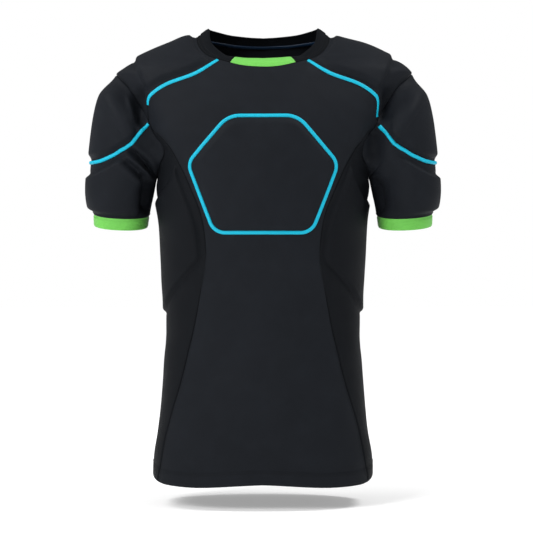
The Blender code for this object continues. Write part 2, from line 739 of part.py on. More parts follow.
def make_lower_sleeve(side, finish, collection):
    top = lower_sleeve_top()
    bottom = np.stack([cuff_angles(), np.ones(len(top))], axis=1)
    turn = np.stack([bottom[:, 0], 0.75 * top[:, 1] + 0.25], axis=1)
    v = LOWER_SLEEVE_SHARES
    share = v[:, None, None]
    grid = top * (1 - share) ** 2 + turn * 2 * share * (1 - share) + bottom * share**2
    points, normals = sleeve_surface(grid[..., 0], grid[..., 1])
    points[-1] += SEAM_GAP / 2 * unit(points[-2] - points[-1])
    seam = len(top) - len(ARM_UNDER)
    off_seam = SEAM_GAP / 2 * inward(points[0, :seam], points[1, :seam])
    points[0, seam:] += off_armhole(points[:, seam:], top[seam:, 0])
    points[0, :seam] += off_seam
    outside = np.cos(np.radians(grid[..., 0] - 8))
    along = ramp(v, 0.13, 0.25) * (1 - ramp(v, 0.86, 0.96))
    raised = LOWER_SLEEVE_PAD * along[:, None] * ramp(outside, -0.45, -0.10) * ramp(grid[..., 1], 0.30, 0.46)
    sign = SIDES[side]
    name = f"sleeve_lower_{side}"
    add_wall(name, mirrored(points, sign), mirrored(normals, sign), finish, collection, raised, closed=True)


def make_cuff(side, finish, collection):
    """The elastic band below a sleeve."""
    angle = cuff_angles()
    seam, normals = sleeve_surface(angle, np.ones(len(angle)))
    front, outer = sleeve_form(np.array([90.0, 0.0]), np.ones(2)) - seam.mean(axis=0)
    down = unit(np.cross(outer, front))
    normals = unit(normals - (normals @ down)[:, None] * down)
    shares = np.array([0, 0.5, 1])[:, None, None]
    points = seam + down * (SEAM_GAP / 2 + shares * CUFF_WIDTH) - normals * (0.0004 + shares * 0.0012)
    sign = SIDES[side]
    normals = np.broadcast_to(normals, points.shape)
    name = f"cuff_{side}"
    points, normals = mirrored(points, sign), mirrored(normals, sign)
    add_wall(name, points, normals, finish, collection, 0.0, ELASTIC, closed=True)


def collar_grid(angles):
    """The collar band, from the neckline up to its edge. It bows out a little between them."""
    low = neck_seam(angles)
    high = collar_edge(angles)
    out = unit(low * (1, 1, 0))
    shares = np.array([0, 0.4, 0.75, 1])[:, None, None]
    points = low * (1 - shares) + high * shares + out * 0.0012 * np.sin(math.pi * shares)
    ahead = collar_slope(angles)
    normals = unit(np.cross(ahead, high - low))
    seam_normals = unit(torso_normal(low) + normals)
    normals = np.stack([seam_normals, normals, normals, normals])
    points[0] += unit(high - low) * SEAM_GAP
    return points, normals


def collar_slope(angles):
    return collar_edge(angles + 1.0) - collar_edge(angles - 1.0)


def collar_angles():
    """The collar's points from one end of the neck tab round the back to the other, in degrees."""
    half = np.concatenate([NECK_FRONT[-2:], NECK_SHOULDER[1:], NECK_BACK[1:]])
    return np.concatenate([half, 360 - half[-2::-1]])


def make_collar(finish, tab_finish, collection):
    tab = NECK_FRONT[NECK_FRONT <= NECK_TAB_ANGLE]
    for name, angles, cloth in (
        ("collar", collar_angles(), finish),
        ("neck_tab", np.concatenate([-tab[:0:-1], tab]), tab_finish),
    ):
        points, normals = collar_grid(angles)
        add_wall(name, pulled_in(points, "lr"), normals, cloth, collection, 0.0, COLLAR_CLOTH)


def make_neck_tape(finish, collection):
    """The tape that covers the collar seam inside the back of the neck."""
    angles = collar_angles()
    points, normals = collar_grid(angles[(angles > 95) & (angles < 265)])
    line = points[0] * 0.62 + points[1] * 0.38
    normals = -unit(normals[0] * 0.62 + normals[1] * 0.38)
    add_strip("neck_tape", line + normals * (COLLAR_CLOTH + SEAM_GAP), normals, finish, collection)


def rounded_hex(per_corner):
    """The chest pad's outline in x and z, anticlockwise from the front, with round corners."""
    half = list(CHEST_HEX)
    corners = half + [(-x, z, radius) for x, z, radius in reversed(half)]
    places = np.array([corner[:2] for corner in corners])
    line = []
    for k, (x, z, radius) in enumerate(corners):
        here = places[k]
        before = unit(places[k - 1] - here)
        after = unit(places[(k + 1) % len(corners)] - here)
        half_angle = math.acos(float(np.clip(before @ after, -1, 1))) / 2
        centre = here + unit(before + after) * radius / math.sin(half_angle)
        start = here + before * radius / math.tan(half_angle) - centre
        end = here + after * radius / math.tan(half_angle) - centre
        first = math.atan2(start[1], start[0])
        sweep = (math.atan2(end[1], end[0]) - first + math.pi) % (2 * math.pi) - math.pi
        turns = first + sweep * np.linspace(0, 1, per_corner)
        line += [centre + radius * np.array([math.cos(t), math.sin(t)]) for t in turns]
    return np.array(line)


def chest_outline():
    return evenly(rounded_hex(8), 64, closed=True)


def chest_centre():
    heights = [corner[1] for corner in CHEST_HEX]
    return np.array([0.0, (min(heights) + max(heights)) / 2])


def make_chest_pad(finish, collection):
    """The foam chest pad: a flat-topped pad with a bevelled edge, inside the piping."""
    outline = chest_outline()
    columns = len(outline)
    centre = chest_centre()
    ahead = np.roll(outline, -1, axis=0) - np.roll(outline, 1, axis=0)
    edge = outline + unit(np.stack([ahead[:, 1], -ahead[:, 0]], axis=1)) * (PIPING_WIDTH / 2 + SEAM_GAP)
    top = ((0.06, 1.0), (0.65, 1.0), (0.91, 0.96), (1.0, 0.40))
    base = tuple((share, 0.06) for share in (1.0, 0.95, 0.89, 0.81, 0.68, 0.46, 0.06))
    shares, lifts = np.array(top + base).T[..., None, None]
    rings = centre + (edge - centre) * shares
    points, normals = creased(torso_face(rings[..., 0], rings[..., 1], 1))
    rows = points + normals * (PIPING_LIFT + CHEST_PAD * lifts)
    quads, _ = grid_faces(len(rows), columns, True)
    last = (len(rows) - 1) * columns
    caps = [tuple(range(columns)), tuple(reversed(range(last, last + columns)))]
    add_object("chest_pad", rows.reshape(-1, 3), quads + caps, finish, collection)


def torso_settled(points):
    return creased(onto_torso(points))


def make_chest_piping(finish, collection):
    line = torso_face(*chest_outline().T, 1)
    normals = torso_normal(line)
    add_strip("chest_piping", line, normals, finish, collection, closed=True, settle=torso_settled)


def make_shoulder_piping(side, face, name, finish, collection):
    line = torso_face(*shoulder_seam_line(face).T, face)[:-1]
    line[0] += 0.0035 * unit(line[1] - line[0])
    sign = SIDES[side]

    def settle(points):
        return tuple(mirrored(made, sign) for made in torso_settled(mirrored(points, sign)))

    normals = mirrored(torso_normal(line), sign)
    add_strip(f"{name}_{side}", mirrored(line, sign), normals, finish, collection, settle=settle)


def make_sleeve_piping(side, finish, collection):
    line = sleeve_seam_line(SHOULDER_SHARES, SEAM_TRIM)
    points, normals = sleeve_surface(line[:, 0], line[:, 1])
    steps = np.array([0.5, 0.005])
    sizes = [sleeve_form(*(line + step).T) - sleeve_form(*(line - step).T) for step in np.diag(steps)]
    to_sleeve = np.linalg.pinv(np.stack(sizes, axis=-1) / (2 * steps))
    sign = SIDES[side]

    def settle(moved):
        offsets = mirrored(moved, sign) - points
        places = line + np.einsum("kij,kj->ki", to_sleeve, offsets)
        settled = sleeve_surface(places[:, 0], np.maximum(places[:, 1], 0))
        return tuple(mirrored(made, sign) for made in settled)

    name = f"sleeve_piping_{side}"
    along = mirrored(points, sign)
    facing = mirrored(normals, sign)
    add_strip(name, along, facing, finish, collection, settle=settle, lift=SLEEVE_PIPING_LIFT)


def main():
    for old in list(bpy.data.objects):
        bpy.data.objects.remove(old)
    collection = bpy.data.collections.new("padded_rugby_vest")
    bpy.context.scene.collection.children.link(collection)
    black = material("black_stretch_knit", (0.017, 0.019, 0.023), 0.62)
    side_black = material("black_side_knit", (0.012, 0.013, 0.016), 0.70)
    cyan = material("cyan_piping", (0.010, 0.600, 0.950), 0.55)
    green = material("green_elastic", (0.190, 0.850, 0.080), 0.60)
    make_centre_panel("front", 1, black, collection)
    make_centre_panel("back", -1, black, collection)
    make_chest_pad(black, collection)
    make_chest_piping(cyan, collection)
    make_collar(black, green, collection)
    make_neck_tape(cyan, collection)
    for side in SIDES:
        make_side_panel(side, side_black, collection)
        make_shoulder(side, black, collection)
        make_upper_sleeve(side, black, collection)
        make_lower_sleeve(side, black, collection)
        make_cuff(side, green, collection)
        make_shoulder_piping(side, 1, "shoulder_piping_front", cyan, collection)
        make_shoulder_piping(side, -1, "shoulder_piping_back", cyan, collection)
        make_sleeve_piping(side, cyan, collection)


main()
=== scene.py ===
"""Padded rugby vest with short sleeves: knit panels, foam pads, piping, elastic and sewing.

Metres, +Z up. The front faces -Y and the wearer's left side is at +X.
"""

import math
from functools import partial

import bpy
import numpy as np
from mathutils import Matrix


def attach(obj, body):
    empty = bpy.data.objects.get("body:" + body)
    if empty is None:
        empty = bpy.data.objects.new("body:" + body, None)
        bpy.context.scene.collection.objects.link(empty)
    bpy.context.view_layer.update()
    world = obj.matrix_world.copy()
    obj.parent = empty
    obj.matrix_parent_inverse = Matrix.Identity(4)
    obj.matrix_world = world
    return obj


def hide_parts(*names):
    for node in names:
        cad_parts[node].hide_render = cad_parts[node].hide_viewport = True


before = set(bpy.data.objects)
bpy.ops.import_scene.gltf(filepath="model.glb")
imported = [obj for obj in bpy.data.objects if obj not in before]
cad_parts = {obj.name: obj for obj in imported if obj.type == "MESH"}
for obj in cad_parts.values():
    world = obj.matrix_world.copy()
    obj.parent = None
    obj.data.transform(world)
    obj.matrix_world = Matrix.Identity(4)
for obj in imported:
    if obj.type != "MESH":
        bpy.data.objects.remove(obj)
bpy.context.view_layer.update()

bl_info = {
    "name": "Padded rugby vest",
    "version": (1, 0, 0),
    "blender": (4, 5, 0),
    "location": "3D View > Sidebar > Vest",
    "description": "Knit panels, foam pads, piping, elastic and sewing of a padded rugby vest",
    "category": "Object",
}

SEAM_GAP = 0.0003
PIPING_LIFT = 0.0005
PIPING_SEAT = 0.0001
SLEEVE_PIPING_LIFT = 0.0014
SIDES = {"left": 1.0, "right": -1.0}

# Torso sections: height, half width, front depth, back depth, front roundness, back roundness
TORSO = np.array(
    [
        (-0.710, 0.1695, 0.1120, 0.1130, 2.40, 2.30),
        (-0.655, 0.1695, 0.1125, 0.1130, 2.40, 2.30),
        (-0.610, 0.1635, 0.1120, 0.1105, 2.40, 2.30),
        (-0.560, 0.1575, 0.1100, 0.1065, 2.40, 2.30),
        (-0.500, 0.1535, 0.1075, 0.1015, 2.40, 2.30),
        (-0.455, 0.1500, 0.1055, 0.0985, 2.40, 2.30),
        (-0.410, 0.1500, 0.1060, 0.0990, 2.40, 2.30),
        (-0.370, 0.1515, 0.1080, 0.1005, 2.40, 2.30),
        (-0.300, 0.1555, 0.1125, 0.1060, 2.35, 2.30),
        (-0.250, 0.1608, 0.1155, 0.1095, 2.30, 2.30),
        (-0.212, 0.1660, 0.1170, 0.1110, 2.30, 2.30),
        (-0.190, 0.1770, 0.1168, 0.1115, 2.30, 2.30),
        (-0.150, 0.2110, 0.1140, 0.1110, 2.30, 2.25),
        (-0.108, 0.2225, 0.1060, 0.1060, 2.30, 2.15),
        (-0.080, 0.2265, 0.0970, 0.1000, 2.30, 1.95),
        (-0.059, 0.2280, 0.0890, 0.0940, 2.25, 1.80),
        (-0.048, 0.2150, 0.0800, 0.0900, 2.20, 1.75),
        (-0.036, 0.1930, 0.0620, 0.0860, 2.20, 1.75),
        (-0.019, 0.1560, 0.0370, 0.0780, 2.15, 1.75),
        (-0.008, 0.1250, 0.0210, 0.0700, 2.10, 1.80),
        (0.000, 0.1020, 0.0120, 0.0540, 2.00, 1.80),
        (0.010, 0.0700, 0.0060, 0.0300, 2.00, 1.80),
    ]
)

# Armhole from the shoulder's top round the front and back: angle, height, turn round the torso, crease depth
ARMHOLE = np.array(
    [
        (0, -0.059, 0, 0.0005),
        (30, -0.077, 22, 0.0030),
        (60, -0.104, 30, 0.0080),
        (90, -0.134, 35, 0.0125),
        (120, -0.163, 35, 0.0120),
        (150, -0.192, 28, 0.0080),
        (180, -0.212, 0, 0.0020),
        (210, -0.192, -26, 0.0040),
        (240, -0.163, -34, 0.0060),
        (270, -0.134, -35, 0.0060),
        (300, -0.104, -29, 0.0040),
        (330, -0.077, -20, 0.0020),
    ]
)
CREASE_WIDTH = 0.024
SEAM_TURN = 0.015

# Sleeve rings below the armhole: outer x, outer z, inner x, inner z, half depth, forward tilt in degrees
SLEEVE = np.array(
    [
        (0.2415, -0.080, 0.1660, -0.216, 0.0715, 0),
        (0.2510, -0.099, 0.1675, -0.219, 0.0695, 0),
        (0.2575, -0.126, 0.1690, -0.223, 0.0660, 1),
        (0.2625, -0.160, 0.1705, -0.229, 0.0620, 2),
        (0.2665, -0.194, 0.1720, -0.237, 0.0595, 4),
        (0.2685, -0.226, 0.1735, -0.249, 0.0575, 6),
        (0.2675, -0.252, 0.1750, -0.263, 0.0550, 8),
        (0.2630, -0.273, 0.1760, -0.277, 0.0495, 10),
    ]
)
SLEEVE_ROUNDNESS = 2.2
SLEEVE_BACK_SHIFT = 0.001

# Neckline in plan and the collar's upper edge: half width, front reach and back reach
NECK_SEAM_PLAN = (0.1020, 0.0860, 0.0720)
COLLAR_TOP_PLAN = (0.0850, 0.0715, 0.0620)
NECK_FRONT_ROUNDNESS = 2.25
NECK_BACK_ROUNDNESS = 2.0
# Height of the collar's upper edge: angle from the front, height
COLLAR_TOP = np.array(
    [
        (0, -0.0400),
        (35, -0.0360),
        (48, -0.0270),
        (66, -0.0130),
        (90, 0.0140),
        (120, 0.0120),
        (150, 0.0080),
        (180, 0.0055),
    ]
)

# Hem: angle round the torso from the side, front positive, and height
HEM = np.array(
    [
        (-90, -0.7030),
        (-60, -0.7020),
        (-25, -0.6945),
        (0, -0.6755),
        (16, -0.6820),
        (32, -0.6865),
        (55, -0.6880),
        (90, -0.6825),
    ]
)

# Seam lines on the wearer's left half: x, z
FRONT_SIDE_SEAM = np.array(
    [
        (0.1470, -0.6110),
        (0.1180, -0.5080),
        (0.0935, -0.3960),
        (0.0845, -0.3430),
        (0.0885, -0.2970),
        (0.1120, -0.2310),
        (0.1400, -0.1810),
    ]
)
BACK_SIDE_SEAM = np.array(
    [
        (0.1470, -0.6110),
        (0.1220, -0.5080),
        (0.1020, -0.3960),
        (0.0970, -0.3430),
        (0.1010, -0.2970),
        (0.1180, -0.2310),
        (0.1440, -0.1810),
    ]
)
HEM_SEAM_X = 0.1600
SIDE_SEAM_LENGTH = 0.5400
SIDE_SEAM_ANGLE = 106
SHOULDER_SEAM_ANGLE = 91
FRONT_SHOULDER_SEAM = np.array([(0.1010, -0.0640), (0.1440, -0.0795), (0.1680, -0.0940), (0.1770, -0.1060)])
BACK_SHOULDER_SEAM = np.array([(0.1100, -0.0330), (0.1500, -0.0600), (0.1740, -0.0880), (0.1830, -0.1060)])
NECK_TAB_ANGLE = 27.0
NECK_FRONT_ANGLE = 38.0
NECK_BACK_ANGLE = 132.0

# Sleeve seam from the outside of the arm to the armhole: angle, share of the sleeve's length
SLEEVE_SEAM = np.array(
    [
        (0, 0.630),
        (30, 0.615),
        (57, 0.572),
        (79, 0.485),
        (92, 0.370),
        (100, 0.240),
        (102, 0.130),
        (98, 0.055),
        (94, 0.0),
    ]
)
SLEEVE_SEAM_ANGLE = 94
SEAM_TRIM = 0.035
PIPING_TRIM = {"left": 0.022, "right": 0.008}
CUFF_TURN = 126
CUFF_TUCK = 0.0006
CUFF_CORDS = 8
CUFF_ROLL = 0.0006
COLLAR_ROLL = 0.0010
# How far each lower sleeve pad reaches round the arm and how softly it ends there, in degrees
LOWER_PAD_REACH = {"left": (112, 42), "right": (126, 1)}
# How much of each front shoulder seam shows its piping before a fold hides it
SHOULDER_PIPING_SHOWN = {"left": 0.96, "right": 0.845}
BACK_PIPING_SHOWN = 0.96

# Chest pad corners on the wearer's left half, top to bottom: x, z, corner radius
CHEST_HEX = ((0.0520, -0.1300, 0.040), (0.1130, -0.2010, 0.022), (0.0730, -0.3050, 0.024))

# Rib pad: height of its lower corner and its top at the front seam, and how far lower it points at the side
RIB_PAD_CORNER = -0.338
RIB_PAD_TOP = -0.186
RIB_PAD_POINT = 0.088

# Folds seen from the front: x and z of both ends, sideways bow, half width, depth (below 0 is a ridge)
FOLDS = (
    (-0.2030, -0.1780, -0.1700, -0.2100, 0.003, 0.0042, 0.0085),
    (-0.2140, -0.1930, -0.1800, -0.2280, 0.003, 0.0046, 0.0072),
    (-0.2090, -0.1860, -0.1750, -0.2190, 0.003, 0.0036, -0.0030),
    (-0.1850, -0.0840, -0.1840, -0.1440, -0.004, 0.0080, 0.0110),
    (-0.2060, -0.0960, -0.1880, -0.1480, 0.000, 0.0045, -0.0030),
    (-0.2020, -0.1340, -0.1900, -0.1600, 0.002, 0.0055, 0.0016),
    (0.1890, -0.0840, 0.1815, -0.1360, 0.002, 0.0080, 0.0110),
    (0.1960, -0.1010, 0.1830, -0.1440, 0.000, 0.0045, -0.0020),
    (-0.1680, -0.1640, -0.1440, -0.1860, 0.002, 0.0060, 0.0020),
    (0.1660, -0.1620, 0.1420, -0.1860, -0.002, 0.0060, 0.0020),
    (-0.1770, -0.2250, -0.1790, -0.2720, 0.000, 0.0110, 0.0140),
    (0.1690, -0.2210, 0.1710, -0.2760, 0.000, 0.0180, 0.0140),
    (0.1710, -0.1440, 0.1680, -0.1980, 0.000, 0.0110, 0.0120),
)

# Where the worn cloth sits fuller than its cut: x, z, half width, half height, height
SWELLS = (
    (0.1600, -0.0300, 0.0500, 0.0300, 0.0045),
    (0.0950, -0.0020, 0.0250, 0.0250, 0.0010),
    (0.2120, -0.0560, 0.0220, 0.0240, 0.0055),
    (-0.1220, -0.0040, 0.0200, 0.0160, 0.0030),
    (0.1690, -0.2320, 0.0160, 0.0300, 0.0045),
    (-0.1690, -0.2350, 0.0160, 0.0330, 0.0052),
)

# A fold's lips: their share of its depth, and the half width above which they flatten out
FOLD_LIPS = 0.22
FOLD_LIP_WIDTH = 0.005

# Soft drape of the cloth over the body: wave across, wave down, lean, start, height
DRAPE = (
    (0.130, 0.300, 0.35, 0.4, 0.00055),
    (0.083, 0.210, -0.30, 1.9, 0.00040),
    (0.210, 0.120, 0.20, 2.7, 0.00040),
)
DRAPE_RADIUS = 0.13
# The drape fades out from the body to the sleeves between these distances from the middle
DRAPE_FADE = (0.165, 0.210)

# Foam pads raised in a panel: distance from its side edges, corner radius, bevel, depth of the sewn groove
PADS = {
    "rib": (0.0115, 0.010, 0.0065, 0.0006),
    "shoulder": (0.0085, 0.011, 0.0070, 0.0006),
    "upper_sleeve": (0.0160, 0.014, 0.0090, 0.0005),
    "lower_sleeve": (0.0, 0.014, 0.0085, 0.0005),
}
PAD_GROOVE_WIDTH = 0.0016
# Where the pads end, in metres from the panel's edges or as shares of the sleeve, and how softly
SHOULDER_PAD_ENDS = (0.0045, 0.0360)
UPPER_PAD_END = 0.0050
UPPER_PAD_START = (0.004, 0.042)
LOWER_PAD_ENDS = (0.0165, 0.0045)
LOWER_PAD_START = (0.36, 0.52)
LOWER_PAD_TURN = 8
LOWER_PAD_RADIUS = 0.052

# Rolled edge of a sewn panel: how far it reaches in and how deep it sinks
ROLL_WIDTH = 0.0020
ROLL = 0.0013

# Distances of the closer points beside a sewn edge, and the sleeves' share of the mesh step
SEWN = (0.0004, 0.0009, 0.0015, 0.0024)
SLEEVE_FINENESS = 0.55
# Rough lengths of the panels' edges, for the number of points along them
SHOULDER_LENGTH = 0.145
SHOULDER_WIDTH = 0.230
SIDE_PANEL_WIDTH = 0.270
SLEEVE_SEAM_LENGTH = 0.300
UPPER_SLEEVE_LENGTH = 0.115
LOWER_SLEEVE_LENGTH = 0.085
COLLAR_HALF_LENGTH = 0.250
COLLAR_WIDTH = 0.036

# Sewing: pitch in stitch lengths, thread radii, lift of the cord in a seam, size of a thread's map
STITCH_PITCH = 1.28
STITCH_THREAD = 0.00032
SEAM_CORD = 0.0009
SEAM_CORD_LIFT = 0.0002
THREAD_MAP = 0.002
# Rows of stitches: distances below the hem's top, edges of the collar and tab with the distance from each,
# and distances from the side seams, the cuff seams and the armholes
HEM_ROWS = (0.0036, 0.0003)
NECK_ROWS = (("t", 0.0042), ("b", 0.0024))
SIDE_SEAM_ROW = 0.0034
SIDE_SEAM_SEWN = 0.94
CUFF_ROW = 0.0026
ARMHOLE_ROW = 0.0036

# Height at which the hem's turn is read, and the step of its turned-up cloth
HEM_PLACE = -0.690
HEM_STEP = 0.0007


def table_curve(table, at):
    """Reads a table at many places, with a smooth curve that never overshoots a row.

    Column 0 is the place.
    """
    places = table[:, 0]
    values = table[:, 1:]
    step = np.diff(places)[:, None]
    rise = np.diff(values, axis=0) / step
    same_way = rise[:-1] * rise[1:] > 0
    safe = np.where(same_way, rise[:-1] + rise[1:], 1.0)
    slope = np.zeros_like(values)
    slope[1:-1] = np.where(same_way, 2 * rise[:-1] * rise[1:] / safe, 0.0)
    slope[0] = rise[0]
    slope[-1] = rise[-1]
    at = np.clip(np.asarray(at, float), places[0], places[-1])
    row = np.clip(np.searchsorted(places, at, "right") - 1, 0, len(places) - 2)
    width = step[row, 0][..., None]
    t = ((at - places[row]) / step[row, 0])[..., None]
    start = (1 + 2 * t) * (1 - t) ** 2 * values[row] + t * (1 - t) ** 2 * width * slope[row]
    end = t * t * (3 - 2 * t) * values[row + 1] + t * t * (t - 1) * width * slope[row + 1]
    return start + end


def catmull(before, first, second, after, t):
    """A Catmull-Rom curve between the middle two of four knots."""
    cubic = 3 * (first - second) + after - before
    square = 2 * before - 5 * first + 4 * second - after
    return first + 0.5 * t * (second - before + t * (square + t * cubic))


def spline(knots, at, closed=False):
    """A smooth curve through knots, at places counted in knots."""
    knots = np.asarray(knots, float)
    count = len(knots)
    at = np.asarray(at, float)
    if closed:
        row = np.floor(at).astype(int)
        around = [knots[(row + k) % count] for k in (-1, 0, 1, 2)]
    else:
        row = np.clip(np.floor(at).astype(int), 0, count - 2)
        padded = np.concatenate([[2 * knots[0] - knots[1]], knots, [2 * knots[-1] - knots[-2]]])
        around = [padded[row + k] for k in range(4)]
    return catmull(*around, (at - row).reshape(at.shape + (1,) * (knots.ndim - 1)))


def line_run(line):
    """The distance along a line at each of its points."""
    return np.concatenate([[0], np.cumsum(np.linalg.norm(np.diff(line, axis=0), axis=1))])


def at_runs(values, run, wanted):
    """A line's values at the wanted distances along it."""
    return np.stack([np.interp(wanted, run, column) for column in values.T], axis=1)


def evenly(loop, count):
    """A closed line with count points the same distance apart."""
    line = np.concatenate([loop, loop[:1]])
    run = line_run(line)
    return at_runs(line, run, np.linspace(0, run[-1], count + 1)[:-1])


def ramp(value, low, high):
    """0 below low, 1 above high and a soft step between."""
    t = np.clip((np.asarray(value, float) - low) / (high - low), 0, 1)
    return t * t * (3 - 2 * t)


def unit(vectors):
    return vectors / np.linalg.norm(vectors, axis=-1, keepdims=True)


def mirrored(points, side):
    return points * np.array([side, 1.0, 1.0])


def fine_shares(length, step, start=(), end=()):
    """Shares of a line of that length about a step apart, with more at distances from its start and end."""
    shares = np.linspace(0, 1, max(3, int(round(length / step)) + 1))
    extra = np.concatenate([np.array(start) / length, 1 - np.array(end) / length])
    away = np.abs(shares[:, None] - extra[None]).min(axis=1, initial=1.0) * length
    far = away > 0.45 * step
    far[[0, -1]] = True
    return np.unique(np.concatenate([shares[far], extra]))


def torso_sizes(z):
    return np.moveaxis(table_curve(TORSO, z), -1, 0)


def torso_around(turn, z):
    """The torso's point at a turn in radians from the wearer's left side, front positive."""
    half_width, front, back, front_power, back_power = torso_sizes(z)
    depth = np.where(turn > 0, front, back)
    power = np.where(turn > 0, front_power, back_power)
    x = half_width * np.abs(np.cos(turn)) ** (2 / power)
    y = -np.sign(turn) * depth * np.abs(np.sin(turn)) ** (2 / power)
    return np.stack([x, y, z + 0 * x], axis=-1)


def torso_turn(x, z, face):
    """The turn at which the torso's front (face 1) or back (face -1) has this x."""
    half_width, _, _, front_power, back_power = torso_sizes(z)
    power = np.where(face > 0, front_power, back_power)
    share = np.clip(np.abs(x) / half_width, 0, 1)
    return face * np.arccos(share ** (power / 2))


def torso_face(x, z, face):
    points = torso_around(torso_turn(x, z, face), z)
    points[..., 0] = x
    return points


def torso_level(points):
    """Below 0 inside the torso form, 0 on it and above 0 outside."""
    half_width, front, back, front_power, back_power = torso_sizes(points[..., 2])
    is_front = points[..., 1] < 0
    power = np.where(is_front, front_power, back_power)
    across = np.abs(points[..., 0]) / half_width
    deep = np.abs(points[..., 1]) / np.where(is_front, front, back)
    return across**power + deep**power - 1


def torso_slope(points, step=2e-5):
    """How fast the level rises along each axis."""
    moves = np.eye(3) * step
    rises = [torso_level(points + move) - torso_level(points - move) for move in moves]
    return np.stack(rises, axis=-1) / (2 * step)


def torso_normal(points):
    """Outward normals, taken over a few millimetres so that they turn softly over the shoulder's end."""
    return unit(torso_slope(points, step=5e-3))


def onto_torso(points, rounds=14):
    """Moves points to the torso form."""
    for _ in range(rounds):
        slope = torso_slope(points)
        points = points - slope * (torso_level(points) / (slope**2).sum(-1))[..., None]
    return points


def shoulder_height(x, y):
    """The torso's height above a point of the plan, by halving."""
    low = np.full(np.shape(x), -0.11)
    high = np.full(np.shape(x), 0.009)
    for _ in range(40):
        middle = (low + high) / 2
        inside = torso_level(np.stack([x, y, middle], axis=-1)) < 0
        low = np.where(inside, middle, low)
        high = np.where(inside, high, middle)
    return (low + high) / 2


def armhole(angle):
    """The armhole before its crease, with the torso's normals and the crease's depth. Angles in degrees."""
    rows = spline(ARMHOLE[:, 1:], np.asarray(angle, float) / 30, closed=True)
    height, turn, depth = np.moveaxis(rows, -1, 0)
    points = torso_around(np.radians(turn), height)
    return points, torso_normal(points), depth


def sleeve_ring(row, angle):
    """One of the sleeve's rings below the armhole."""
    outer_x, outer_z, inner_x, inner_z, half_depth, tilt = SLEEVE[row]
    along = np.sign(np.cos(angle)) * np.abs(np.cos(angle)) ** (2 / SLEEVE_ROUNDNESS)
    across = -np.sign(np.sin(angle)) * np.abs(np.sin(angle)) ** (2 / SLEEVE_ROUNDNESS)
    x = (outer_x + inner_x) / 2 + along * (outer_x - inner_x) / 2
    y = half_depth * across
    z = (outer_z + inner_z) / 2 + along * (outer_z - inner_z) / 2 + y * math.tan(math.radians(tilt))
    return np.stack([x, y + SLEEVE_BACK_SHIFT, z], axis=-1)


def sleeve_form(angle, share):
    """The wearer's left sleeve.

    Angles are in degrees from the outside of the arm round the front, and shares are of its length from
    the armhole to the cuff.
    """
    seam, normals, depth = armhole(angle)
    rings = [seam - normals * depth[..., None]]
    rings += [sleeve_ring(row, np.radians(angle)) for row in range(len(SLEEVE))]
    rings = np.stack(rings)
    flat = rings.reshape(len(rings), -1, 3)
    place = np.asarray(share, float).reshape(-1) * (len(rings) - 1)
    each = np.arange(flat.shape[1])
    row = np.clip(np.floor(place).astype(int), 0, len(rings) - 2)
    around = [flat[np.clip(row + k, 0, len(rings) - 1), each] for k in (-1, 0, 1, 2)]
    return catmull(*around, (place - row)[:, None]).reshape(rings.shape[1:])


def sleeve_normal(angle, share):
    round_it = sleeve_form(angle + 0.4, share) - sleeve_form(angle - 0.4, share)
    above, below = (np.clip(share + step, 0, 1) for step in (-0.004, 0.004))
    down = sleeve_form(angle, below) - sleeve_form(angle, above)
    return unit(np.cross(round_it, down))


def armhole_facing(angle):
    """The way the cloth faces on the armhole seam, halfway between the torso's side and the sleeve's."""
    angle = np.asarray(angle, float)
    _, torso_side, _ = armhole(angle)
    return unit(torso_side + sleeve_normal(angle, np.full(angle.shape, 0.03)))


def sleeve_surface(angle, share):
    """Points and outward normals of the left sleeve."""
    angle = np.asarray(angle, float)
    share = np.asarray(share, float)
    points = sleeve_form(angle, share)
    near = ramp(share, 0.0, 0.08)[..., None]
    normals = unit(armhole_facing(angle) * (1 - near) + sleeve_normal(angle, share) * near)
    return points, normals


ARMHOLE_ANGLES = np.arange(0.0, 360.0, 0.5)
ARMHOLE_LINE, _, ARMHOLE_CREASE = armhole(ARMHOLE_ANGLES)
ARMHOLE_FACING = armhole_facing(ARMHOLE_ANGLES)


def creased(points):
    """Sinks the torso's cloth into the crease round each armhole, and gives the way that it faces too."""
    normals = torso_normal(points)
    flat = points.reshape(-1, 3)
    half = np.where(flat[:, :1] < 0, -1.0, 1.0) * (1, 0, 0) + (0, 1, 1)
    nearest = np.zeros(len(flat), int)
    distance = np.full(len(flat), 1.0)
    near = np.flatnonzero((np.abs(flat[:, 0]) > 0.09) & (flat[:, 2] > -0.30))
    for few in np.array_split(near, max(1, len(near) // 2000)):
        away = np.linalg.norm((flat * half)[few][:, None] - ARMHOLE_LINE[None], axis=2)
        nearest[few] = away.argmin(axis=1)
        distance[few] = away.min(axis=1)
    sink = ARMHOLE_CREASE[nearest] * np.exp(-((distance / CREASE_WIDTH) ** 2))
    turned = np.exp(-((distance / SEAM_TURN) ** 2)).reshape(points.shape[:-1] + (1,))
    seam_facing = (ARMHOLE_FACING[nearest] * half).reshape(points.shape)
    facing = unit(normals * (1 - turned) + seam_facing * turned)
    return points - normals * sink.reshape(points.shape[:-1] + (1,)), facing


def plan_loop(angle, half_width, front, back):
    """A neck loop in plan, fuller in front than behind."""
    turn = np.radians(np.asarray(angle, float))
    is_front = np.cos(turn) > 0
    power = 2 / np.where(is_front, NECK_FRONT_ROUNDNESS, NECK_BACK_ROUNDNESS)
    x = half_width * np.sign(np.sin(turn)) * np.abs(np.sin(turn)) ** power
    y = -np.where(is_front, front, back) * np.sign(np.cos(turn)) * np.abs(np.cos(turn)) ** power
    return x, y


def neck_seam(angle):
    """The neckline at angles in degrees from the front centre, on the wearer's left."""
    x, y = plan_loop(angle, *NECK_SEAM_PLAN)
    return np.stack([x, y, shoulder_height(x, y)], axis=-1)


